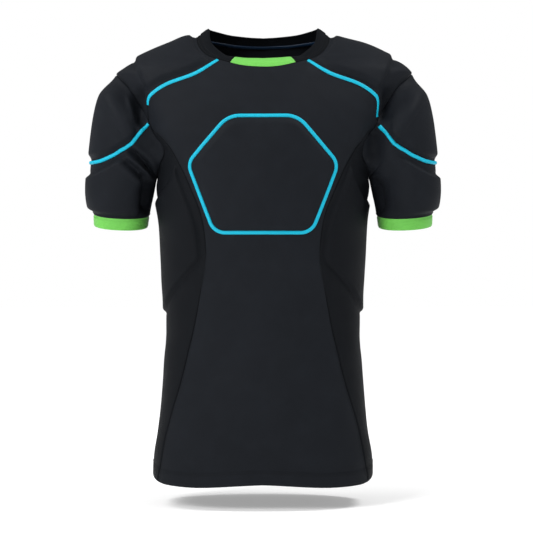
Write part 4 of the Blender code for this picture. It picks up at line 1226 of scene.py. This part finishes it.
def sleeve_seam_line(shares, trim):
    """The sleeve's piped seam, from the back of the armhole over the outside of the arm to the front.

    It comes as angle and share of the sleeve. trim cuts that share of the line off at each end.
    """
    half = spline(SLEEVE_SEAM, np.linspace(0, len(SLEEVE_SEAM) - 1, 240))
    line = np.concatenate([half[:0:-1] * (-1, 1), half])
    run = line_run(sleeve_form(line[:, 0], line[:, 1]))
    wanted = (trim + (1 - 2 * trim) * shares) * run[-1]
    return at_runs(line, run, wanted)


def off_armhole(points, angles):
    """How far a sleeve's first row moves, to leave the seam's gap to the torso's panels."""
    _, torso_side, _ = armhole(angles)
    return SEAM_GAP * unit(unit(points[1] - points[0]) + torso_side)


def make_upper_sleeve(side, finish, sizes):
    step = sizes.mesh_step * SLEEVE_FINENESS
    u = fine_shares(SLEEVE_SEAM_LENGTH, step, SEWN, SEWN)
    v = fine_shares(UPPER_SLEEVE_LENGTH, step, SEWN, SEWN)
    seam = sleeve_seam_line(u, SEAM_TRIM)
    top = np.stack([SLEEVE_SEAM_ANGLE * (2 * u - 1), 0 * u], axis=1)
    share = v[:, None, None]
    grid = top * (1 - share) + seam * share
    points, normals = sleeve_surface(grid[..., 0], grid[..., 1])
    points = pulled_in(points, "tlr")
    points[0] += off_armhole(points, grid[0, :, 0])
    edges = edge_distances(points)
    up, groove = pad_rise("upper_sleeve", np.minimum(edges["l"], edges["r"]), edges["t"] - UPPER_PAD_END)
    relief = sizes.sleeve_pad * up * ramp(edges["b"], *UPPER_PAD_START) - groove
    return add_panel("sleeve_upper", (points, normals), finish, sizes.cloth, relief, side)


def lower_sleeve_columns(step):
    """Where the lower sleeve's columns start, as angle and share, and the angles where they end below."""
    u = fine_shares(SLEEVE_SEAM_LENGTH, step * SLEEVE_FINENESS)
    under = np.linspace(SLEEVE_SEAM_ANGLE, 360 - SLEEVE_SEAM_ANGLE, 110)
    top = np.concatenate([sleeve_seam_line(u, SEAM_TRIM), np.stack([under, 0 * under], axis=1)])
    share = (180 - CUFF_TURN - 2) / (180 - SLEEVE_SEAM_ANGLE)
    bottom = np.concatenate([CUFF_TURN * (2 * u - 1), 180 + (under - 180) * share])
    return top, bottom


def make_lower_sleeve(side, finish, sizes):
    top, angles = lower_sleeve_columns(sizes.mesh_step)
    bottom = np.stack([angles, np.ones(len(top))], axis=1)
    turn = np.stack([bottom[:, 0], 0.75 * top[:, 1] + 0.25], axis=1)
    v = fine_shares(LOWER_SLEEVE_LENGTH, sizes.mesh_step * SLEEVE_FINENESS, SEWN, SEWN)
    share = v[:, None, None]
    grid = top * (1 - share) ** 2 + turn * 2 * share * (1 - share) + bottom * share**2
    points, normals = sleeve_surface(grid[..., 0], grid[..., 1])
    points[-1] += SEAM_GAP / 2 * unit(points[-2] - points[-1])
    seam = int(np.flatnonzero(top[:, 1] == 0)[0])
    off_seam = SEAM_GAP / 2 * inward(points[0, :seam], points[1, :seam])
    points[0, seam:] += off_armhole(points[:, seam:], top[seam:, 0])
    points[0, :seam] += off_seam
    edges = edge_distances(points)
    turned = np.abs((grid[..., 0] - LOWER_PAD_TURN + 180) % 360 - 180)
    reach, soft = LOWER_PAD_REACH[side]
    to_sides = np.radians(reach - turned) * LOWER_PAD_RADIUS
    to_ends = np.minimum(edges["b"] - LOWER_PAD_ENDS[0], edges["t"] - LOWER_PAD_ENDS[1])
    up, groove = pad_rise("lower_sleeve", to_sides, to_ends)
    below = ramp(grid[..., 1], *LOWER_PAD_START) * (1 - ramp(turned, reach - soft, reach))
    relief = (sizes.lower_sleeve_pad * up - groove) * below
    surface = points, normals
    return add_panel("sleeve_lower", surface, finish, sizes.cloth, relief, side, closed=True, rolled="bt")


def make_cuff(side, finish, sizes):
    """The elastic band below a sleeve, with fine cords along it."""
    _, angle = lower_sleeve_columns(sizes.mesh_step)
    seam, normals = sleeve_surface(angle, np.ones(len(angle)))
    front, outer = sleeve_form(np.array([90.0, 0.0]), np.ones(2)) - seam.mean(axis=0)
    down = unit(np.cross(outer, front))
    normals = unit(normals - (normals @ down)[:, None] * down)
    shares = np.linspace(0, 1, 4 * CUFF_CORDS + 1)[:, None, None]
    points = seam + down * (shares * sizes.cuff_width - CUFF_TUCK) - normals * (0.0004 + shares * 0.0012)
    surface = points, np.broadcast_to(normals, points.shape)
    cords = 0.00022 * np.cos(2 * math.pi * CUFF_CORDS * shares[..., 0])
    pull = -0.0007 * np.exp(-((shares[..., 0] - 0.12) ** 2) / 0.004)
    relief = cords + pull + 0 * points[..., 0]
    edge = {"closed": True, "rolled": "bt", "roll": CUFF_ROLL}
    return add_panel("cuff", surface, finish, sizes.elastic, relief, side, **edge)


def collar_band(angles, shares):
    """The collar band, from the neckline up to its edge. It bows out a little between them."""
    low = neck_seam(angles)
    high = collar_edge(angles)
    out = unit(low * (1, 1, 0))
    shares = shares[:, None, None]
    points = low * (1 - shares) + high * shares + out * 0.0012 * np.sin(math.pi * shares)
    ahead = collar_edge(angles + 1.0) - collar_edge(angles - 1.0)
    normals = unit(np.cross(ahead, high - low))
    seam_normals = unit(torso_normal(low) + normals)
    turned = (1 - np.clip(shares / 0.35, 0, 1)) ** 2
    normals = unit(seam_normals * turned + normals * (1 - turned))
    points[0] += unit(high - low) * SEAM_GAP
    return points, normals


def collar_angles(step):
    """The collar's points from one end of the neck tab round the back to the other, in degrees."""
    count = int(COLLAR_HALF_LENGTH / step)
    half = np.linspace(NECK_TAB_ANGLE, 180, count)
    return np.concatenate([half, 360 - half[-2::-1]])


def make_collar(name, angles, finish, sizes):
    shares = fine_shares(COLLAR_WIDTH, 0.0022, SEWN, (0.0004, 0.0009, 0.0016))
    points, normals = collar_band(angles, shares)
    points = pulled_in(points, "lr")
    high = shares[:, None]
    fold = -0.0007 * np.exp(-(((high - 0.30) / 0.035) ** 2)) + 0.0005 * ramp(high, 0.30, 0.42)
    edge = -0.0004 * np.exp(-(((high - 0.86) / 0.03) ** 2))
    relief = fold + edge + 0 * points[..., 0]
    surface = points, normals
    return add_panel(name, surface, finish, sizes.collar_cloth, relief, rolled="tlr", roll=COLLAR_ROLL)


def rounded_hex(per_corner):
    """The chest pad's outline in x and z, anticlockwise from the front, with round corners."""
    half = list(CHEST_HEX)
    corners = half + [(-x, z, radius) for x, z, radius in reversed(half)]
    places = np.array([corner[:2] for corner in corners])
    line = []
    for k, (x, z, radius) in enumerate(corners):
        here = places[k]
        before = unit(places[k - 1] - here)
        after = unit(places[(k + 1) % len(corners)] - here)
        half_angle = math.acos(float(np.clip(before @ after, -1, 1))) / 2
        centre = here + unit(before + after) * radius / math.sin(half_angle)
        start = here + before * radius / math.tan(half_angle) - centre
        end = here + after * radius / math.tan(half_angle) - centre
        first = math.atan2(start[1], start[0])
        sweep = (math.atan2(end[1], end[0]) - first + math.pi) % (2 * math.pi) - math.pi
        turns = first + sweep * np.linspace(0, 1, per_corner)
        line += [centre + radius * np.array([math.cos(t), math.sin(t)]) for t in turns]
    return np.array(line)


def make_chest_pad(finish, sizes):
    """The foam chest pad: a softly crowned pad with a rounded edge, inside the piping."""
    outline = evenly(rounded_hex(24), 240)
    columns = len(outline)
    heights = [corner[1] for corner in CHEST_HEX]
    centre = np.array([0.0, (min(heights) + max(heights)) / 2])
    ahead = np.roll(outline, -1, axis=0) - np.roll(outline, 1, axis=0)
    edge = outline + unit(np.stack([ahead[:, 1], -ahead[:, 0]], axis=1)) * (sizes.piping_width / 2 + SEAM_GAP)
    inner = np.linspace(0.02, 0.80, 24)
    rim = np.array([0.83, 0.86, 0.89, 0.915, 0.94, 0.96, 0.975, 0.988, 0.997, 1.0])
    top = np.concatenate([inner, rim])
    shares = np.concatenate([top, top[::-1]])
    lifts = ramp(1 - top, -0.025, 0.105) * (0.93 + 0.07 * np.cos(top * math.pi / 2))
    lifts = np.concatenate([np.maximum(lifts, 0.10), np.full(len(top), 0.06)])
    rings = centre + (edge - centre) * shares[:, None, None]
    points, normals = creased(torso_face(rings[..., 0], rings[..., 1], 1))
    rise = PIPING_LIFT + sizes.chest_pad * lifts[:, None] + crumple(points, normals)
    rows = points + normals * rise[..., None]
    quads = grid_quads(len(rows), columns, True)
    last = (len(rows) - 1) * columns
    loop = np.arange(columns // 2 - 1)
    cap = np.stack([loop, loop + 1, columns - 2 - loop, columns - 1 - loop], axis=1)
    faces = np.concatenate([quads, cap[:-1, ::-1], cap[:-1] + last])
    maps = rings.reshape(-1, 2)[faces]
    made = finish_mesh("chest_pad_foam", rows.reshape(-1, 3), faces, finish, maps)
    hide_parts("chest_pad")
    return made


def torso_settled(points):
    return creased(onto_torso(points, 5))


def make_chest_piping(finish, sizes):
    line = torso_face(*evenly(rounded_hex(40), 1640).T, 1)
    normals = torso_normal(line)
    return add_piping("chest_piping", line, normals, finish, sizes, closed=True, settle=torso_settled)


def make_shoulder_piping(side, face, name, finish, sizes):
    shown = SHOULDER_PIPING_SHOWN[side] if face > 0 else BACK_PIPING_SHOWN
    line = torso_face(*shoulder_seam_line(face, np.linspace(0, shown, 360)).T, face)
    line = line[np.linalg.norm(line - line[0], axis=1) > 0.0035]
    sign = SIDES[side]

    def settle(points):
        return tuple(mirrored(made, sign) for made in torso_settled(mirrored(points, sign)))

    normals = mirrored(torso_normal(line), sign)
    return add_piping(f"{name}_{side}", mirrored(line, sign), normals, finish, sizes, settle=settle)


def make_sleeve_piping(side, finish, sizes):
    line = sleeve_seam_line(np.linspace(0, 1, 760), PIPING_TRIM[side])
    points, normals = sleeve_surface(line[:, 0], line[:, 1])
    steps = np.array([0.5, 0.005])
    moves = [sleeve_form(*(line + step).T) - sleeve_form(*(line - step).T) for step in np.diag(steps)]
    to_sleeve = np.linalg.pinv(np.stack(moves, axis=-1) / (2 * steps))
    sign = SIDES[side]

    def settle(moved):
        offsets = mirrored(moved, sign) - points
        places = line + np.einsum("kij,kj->ki", to_sleeve, offsets)
        settled = sleeve_surface(places[:, 0], np.maximum(places[:, 1], 0))
        return tuple(mirrored(made, sign) for made in settled)

    name = f"sleeve_piping_{side}"
    along, facing = mirrored(points, sign), mirrored(normals, sign)
    return add_piping(name, along, facing, finish, sizes, settle=settle, lift=SLEEVE_PIPING_LIFT)


def make_neck_tape(finish, sizes):
    """The tape that covers the collar seam inside the back of the neck."""
    angles = np.linspace(96, 264, 520)
    points, normals = collar_band(angles, np.array([0.0, 0.4]))
    line = points[0] * 0.62 + points[1] * 0.38
    normals = -unit(normals[0] * 0.62 + normals[1] * 0.38)
    line = line + normals * (sizes.collar_cloth + SEAM_GAP)
    return add_piping("neck_tape", line, normals, finish, sizes)


def state_sheet(name, rests_on):
    """Works out a cloth panel's flat size: its widest row, its longest column and its area; nothing keeps
    them.
    """
    panel = PANELS[name]
    made = panel["object"]
    rests_on = [PANELS[other]["object"] for other in rests_on]
    width = float(panel["edges"]["l"].max())
    length = float(panel["edges"]["b"].max())
    area = sum(face.area for face in made.data.polygons) / 2
    if area > 0.98 * width * length:
        area = None


def size_prop(name, description, default, low=0.001):
    about = {"name": name, "description": description, "unit": "LENGTH"}
    return bpy.props.FloatProperty(default=default, min=low, **about)


class VestSizes(bpy.types.PropertyGroup):
    """Sizes that a maker would change."""

    cloth: size_prop("Cloth", "Thickness of the knit", 0.0016, 0.0005)
    collar_cloth: size_prop("Collar cloth", "Thickness of the collar band", 0.0022, 0.0005)
    elastic: size_prop("Elastic", "Thickness of the cuff elastic", 0.0018, 0.0005)
    cuff_width: size_prop("Cuff width", "Width of the cuff elastic", 0.0180, 0.005)
    hem_depth: size_prop("Hem depth", "Depth of the turned-up hem", 0.0220, 0.005)
    chest_pad: size_prop("Chest pad", "Height of the chest pad", 0.0050)
    shoulder_pad: size_prop("Shoulder pad", "Height of the shoulder pads", 0.0070)
    sleeve_pad: size_prop("Sleeve pad", "Height of the sleeve pads", 0.0060)
    lower_sleeve_pad: size_prop("Lower sleeve pad", "Height of the lower sleeve pads", 0.0075)
    rib_pad: size_prop("Rib pad", "Height of the rib pads", 0.0060)
    piping_width: size_prop("Piping width", "Width of the cyan piping", 0.0056)
    piping_height: size_prop("Piping height", "Height of the cyan piping", 0.0012, 0.0002)
    knit_stitch: size_prop("Knit stitch", "Width of one knit stitch", 0.0012, 0.0004)
    sewing_stitch: size_prop("Sewing stitch", "Length of one sewn stitch", 0.0025)
    mesh_step: size_prop("Mesh step", "Distance between points of a panel", 0.0031)


def colour_prop(name, description, default):
    return bpy.props.FloatVectorProperty(
        name=name, description=description, default=default, size=3, min=0.0, max=1.0, subtype="COLOR"
    )


class VestColours(bpy.types.PropertyGroup):
    """Colours of the cloth and trim."""

    knit: colour_prop("Knit", "Black knit of the body, shoulders and sleeves", (0.0082, 0.0096, 0.0124))
    side_knit: colour_prop("Side knit", "Darker knit of the side panels", (0.0052, 0.0060, 0.0076))
    collar_knit: colour_prop("Collar knit", "Close black knit of the collar", (0.0040, 0.0048, 0.0062))
    # Partly the thread's own colour, partly painted shade: the seam cord is darker than the knit to darken
    # the seams' grooves.
    thread: colour_prop("Thread", "Sewing thread", (0.0070, 0.0078, 0.0090))
    seam_thread_and_shade: colour_prop("Seam thread", "Overlocking thread in the seams", (0.0010, 0.0011, 0.0013))
    piping: colour_prop("Piping", "Cyan piping", (0.003, 0.405, 0.560))
    # The tape's dark blue is painted shade: the tape is cyan like the piping, darkened as it lies in shadow
    # inside the back of the neck.
    tape: colour_prop("Tape", "Dark blue neck tape", (0.003, 0.014, 0.034))
    elastic: colour_prop("Elastic", "Lime elastic of the cuffs and neck tab", (0.158, 0.550, 0.083))
    floor: colour_prop("Floor", "Pale studio floor", (0.92, 0.92, 0.92))


class VEST_OT_body(bpy.types.Operator):
    """Make the front and back panels"""

    bl_idname = "vest.body"
    bl_label = "Front and back"

    def execute(self, context):
        finish = finishes()["knit"]
        for name, face in (("front", 1), ("back", -1)):
            made = make_centre_panel(name, face, finish, context.scene.vest_sizes)
        return {"FINISHED"}


class VEST_OT_side_panels(bpy.types.Operator):
    """Make the side panels with their rib pads"""

    bl_idname = "vest.side_panels"
    bl_label = "Side panels"

    def execute(self, context):
        for side in SIDES:
            made = make_side_panel(side, finishes()["side_knit"], context.scene.vest_sizes)
        return {"FINISHED"}


class VEST_OT_shoulders(bpy.types.Operator):
    """Make the padded shoulders"""

    bl_idname = "vest.shoulders"
    bl_label = "Shoulders"

    def execute(self, context):
        for side in SIDES:
            made = make_shoulder(side, finishes()["knit"], context.scene.vest_sizes)
        return {"FINISHED"}


class VEST_OT_sleeves(bpy.types.Operator):
    """Make the padded upper and lower sleeves"""

    bl_idname = "vest.sleeves"
    bl_label = "Sleeves"

    def execute(self, context):
        finish = finishes()["knit"]
        for side in SIDES:
            for make in (make_upper_sleeve, make_lower_sleeve):
                made = make(side, finish, context.scene.vest_sizes)
        return {"FINISHED"}


class VEST_OT_cuffs(bpy.types.Operator):
    """Make the elastic cuffs"""

    bl_idname = "vest.cuffs"
    bl_label = "Cuffs"

    def execute(self, context):
        for side in SIDES:
            made = make_cuff(side, finishes()["elastic"], context.scene.vest_sizes)
            state_sheet(f"cuff_{side}", [f"sleeve_lower_{side}"])
        return {"FINISHED"}


class VEST_OT_collar(bpy.types.Operator):
    """Make the collar, the neck tab and the neck tape"""

    bl_idname = "vest.collar"
    bl_label = "Collar"

    def execute(self, context):
        sizes = context.scene.vest_sizes
        made = finishes()
        tape = make_neck_tape(made["tape"], sizes)
        collar = make_collar("collar", collar_angles(sizes.mesh_step), made["collar"], sizes)
        tab_angles = np.linspace(-NECK_TAB_ANGLE, NECK_TAB_ANGLE, 48)
        tab = make_collar("neck_tab", tab_angles, made["elastic"], sizes)
        state_sheet("collar", ["front", "back"])
        state_sheet("neck_tab", ["front"])
        return {"FINISHED"}


class VEST_OT_chest_pad(bpy.types.Operator):
    """Make the foam chest pad"""

    bl_idname = "vest.chest_pad"
    bl_label = "Chest pad"

    def execute(self, context):
        made = make_chest_pad(finishes()["knit"], context.scene.vest_sizes)
        return {"FINISHED"}


class VEST_OT_piping(bpy.types.Operator):
    """Make the cyan piping on the chest, shoulders and sleeves"""

    bl_idname = "vest.piping"
    bl_label = "Piping"

    def execute(self, context):
        sizes = context.scene.vest_sizes
        finish = finishes()["piping"]
        made = [make_chest_piping(finish, sizes)]
        for side in SIDES:
            made.append(make_shoulder_piping(side, 1, "shoulder_piping_front", finish, sizes))
            made.append(make_shoulder_piping(side, -1, "shoulder_piping_back", finish, sizes))
            made.append(make_sleeve_piping(side, finish, sizes))
        return {"FINISHED"}


# Panel edges that hold the near-black seam cord: partly overlocking thread, partly painted shade in the seam
SEAM_EDGES = [(name, edge) for name in ("front", "back") for edge in "lrt"]
SEAM_EDGES += [("collar", "l"), ("collar", "r")]
for _side in SIDES:
    SEAM_EDGES += [(f"shoulder_{_side}", "b"), (f"shoulder_{_side}", "t"), (f"side_panel_{_side}", "t")]
    SEAM_EDGES += [(f"sleeve_lower_{_side}", "b"), (f"sleeve_lower_{_side}", "t")]


class VEST_OT_sewing(bpy.types.Operator):
    """Sew the hem, the side seams, the neckline, the armholes and the cuffs, and work out the panels' flat
    sizes without keeping them
    """

    bl_idname = "vest.sewing"
    bl_label = "Sewing"

    def execute(self, context):
        sizes = context.scene.vest_sizes
        finish = finishes()
        length = sizes.sewing_stitch
        rows = {"hem_stitching": [], "side_seam_stitching": [], "neck_stitching": [], "sleeve_stitching": []}
        seams = [line_at(name, edge, 0.0, SEAM_CORD_LIFT) for name, edge in SEAM_EDGES]
        for name in ("front", "back", "side_panel_left", "side_panel_right"):
            for below in HEM_ROWS:
                rows["hem_stitching"].append(line_at(name, "b", sizes.hem_depth - below))
            for edge in "lr":
                rows["side_seam_stitching"].append(line_at(name, edge, SIDE_SEAM_ROW, stop=SIDE_SEAM_SEWN))
        rows["neck_stitching"] += [line_at("collar", *row) for row in NECK_ROWS]
        for side in SIDES:
            rows["sleeve_stitching"].append(line_at(f"sleeve_lower_{side}", "t", CUFF_ROW))
            rows["sleeve_stitching"].append(line_at(f"shoulder_{side}", "t", ARMHOLE_ROW))
        for name, lines in rows.items():
            add_stitches(name, lines, finish["thread"], length)
        tab = [line_at("neck_tab", *row) for row in NECK_ROWS]
        add_stitches("tab_stitching", tab, finish["elastic"], length)
        add_thread_and_shade_cord("seam_thread_and_shade", seams, finish["seam"])
        shoulders = ["shoulder_left", "shoulder_right"]
        state_sheet("front", shoulders)
        state_sheet("back", shoulders)
        for side in SIDES:
            state_sheet(f"side_panel_{side}", ["front", "back"])
        return {"FINISHED"}


class VEST_OT_stage(bpy.types.Operator):
    """Set the floor, the studio light and the camera"""

    bl_idname = "vest.stage"
    bl_label = "Stage"

    def execute(self, context):
        scene = context.scene
        mesh = bpy.data.meshes.new("studio_floor")
        corners = [(x * FLOOR_REACH, y * FLOOR_REACH, FLOOR) for x, y in ((-1, -1), (1, -1), (1, 1), (-1, 1))]
        mesh.from_pydata(corners, [], [(0, 1, 2, 3)])
        floor = bpy.data.objects.new("studio_floor", mesh)
        scene.collection.objects.link(floor)
        paper = bpy.data.materials.new("pale_floor_painted_light")
        paper.use_nodes = True
        tree = paper.node_tree
        shader = tree.nodes["Principled BSDF"].inputs
        shader["Base Color"].default_value = (*scene.vest_colours.floor, 1)
        shader["Roughness"].default_value = 0.9
        shader["Specular IOR Level"].default_value = 0.1
        shader["Emission Strength"].default_value = 1.0
        # The floor's emission is painted light: dim under the vest, which keeps a painted shadow there, and
        # bright far off so that the floor shows white.
        place = node(tree, "ShaderNodeNewGeometry").outputs["Position"]
        away = node(tree, "ShaderNodeVectorMath", {0: place, 1: (0.0, 0.0, FLOOR)}, operation="DISTANCE")
        near, far, dim, bright = FLOOR_PAINTED_LIGHT
        floor_painted_light = {0: away.outputs["Value"], 1: near, 2: far, 3: dim, 4: bright}
        floor_painted_light = node(tree, "ShaderNodeMapRange", floor_painted_light).outputs[0]
        tree.links.new(floor_painted_light, shader["Emission Color"])
        mesh.materials.append(paper)
        world = bpy.data.worlds.new("studio")
        scene.world = world
        world.use_nodes = True
        sky = world.node_tree.nodes["Background"]
        sky.inputs[0].default_value = (1, 1, 1, 1)
        seen = node(world.node_tree, "ShaderNodeLightPath").outputs["Is Camera Ray"]
        level = maths(world.node_tree, "MULTIPLY_ADD", seen, 1.0 - SKY_LIGHT, SKY_LIGHT)
        world.node_tree.links.new(level, sky.inputs[1])
        for name, place, aim, size, power in LIGHTS:
            lamp = bpy.data.lights.new(name, "AREA")
            lamp.shape = "DISK"
            lamp.size = size
            lamp.energy = power
            made = bpy.data.objects.new(name, lamp)
            made.location = place
            way = np.array(aim) - np.array(place)
            made.rotation_euler = (math.acos(-way[2] / np.linalg.norm(way)), 0, math.atan2(-way[0], way[1]))
            scene.collection.objects.link(made)
        lens = bpy.data.cameras.new("photo_camera")
        lens.sensor_width = SENSOR
        lens.lens = FOCAL_LENGTH
        lens.dof.use_dof = False
        camera = bpy.data.objects.new("photo_camera", lens)
        camera.location = CAMERA_PLACE
        camera.rotation_euler = (math.radians(90), 0, 0)
        scene.collection.objects.link(camera)
        scene.camera = camera
        scene.view_settings.view_transform = "Standard"
        return {"FINISHED"}


# Studio lights: name, place, aim, size across, power in watts
LIGHTS = (
    ("key_light", (-1.6, -2.2, 1.1), (0.0, 0.0, -0.35), 1.3, 55.0),
    ("left_top_light", (-1.1, -0.2, 1.0), (-0.18, 0.0, -0.08), 0.9, 13.0),
    ("right_top_light", (1.1, -0.3, 1.1), (0.18, 0.0, -0.08), 0.8, 20.0),
)
SKY_LIGHT = 0.25
# Floor: height, reach, and its painted light: an emission from near to far below the vest, dim under it to
# keep a painted shadow there and bright further out
FLOOR = -0.722
FLOOR_REACH = 14.0
FLOOR_PAINTED_LIGHT = (0.25, 1.6, 0.33, 0.80)
# Camera: place in metres, lens in millimetres
CAMERA_PLACE = (0.0054, -3.0, -0.3556)
FOCAL_LENGTH = 130.7
SENSOR = 36.0

OPERATORS = (
    VEST_OT_body,
    VEST_OT_side_panels,
    VEST_OT_shoulders,
    VEST_OT_sleeves,
    VEST_OT_cuffs,
    VEST_OT_collar,
    VEST_OT_chest_pad,
    VEST_OT_piping,
    VEST_OT_sewing,
    VEST_OT_stage,
)


class VEST_PT_sidebar(bpy.types.Panel):
    """Lists the vest's pieces"""

    bl_idname = "VEST_PT_sidebar"
    bl_label = "Padded rugby vest"
    bl_space_type = "VIEW_3D"
    bl_region_type = "UI"
    bl_category = "Vest"

    def draw(self, context):
        for operator in OPERATORS:
            self.layout.operator(operator.bl_idname)


CLASSES = (VestSizes, VestColours, *OPERATORS, VEST_PT_sidebar)


def register():
    for kind in CLASSES:
        bpy.utils.register_class(kind)
    bpy.types.Scene.vest_sizes = bpy.props.PointerProperty(type=VestSizes)
    bpy.types.Scene.vest_colours = bpy.props.PointerProperty(type=VestColours)


def unregister():
    del bpy.types.Scene.vest_colours
    del bpy.types.Scene.vest_sizes
    for kind in reversed(CLASSES):
        bpy.utils.unregister_class(kind)


def main():
    register()
    bpy.ops.vest.body()
    bpy.ops.vest.side_panels()
    bpy.ops.vest.shoulders()
    bpy.ops.vest.sleeves()
    bpy.ops.vest.cuffs()
    bpy.ops.vest.collar()
    bpy.ops.vest.chest_pad()
    bpy.ops.vest.piping()
    bpy.ops.vest.sewing()
    bpy.ops.vest.stage()
    bpy.context.view_layer.update()


if __name__ == "__main__":
    main()
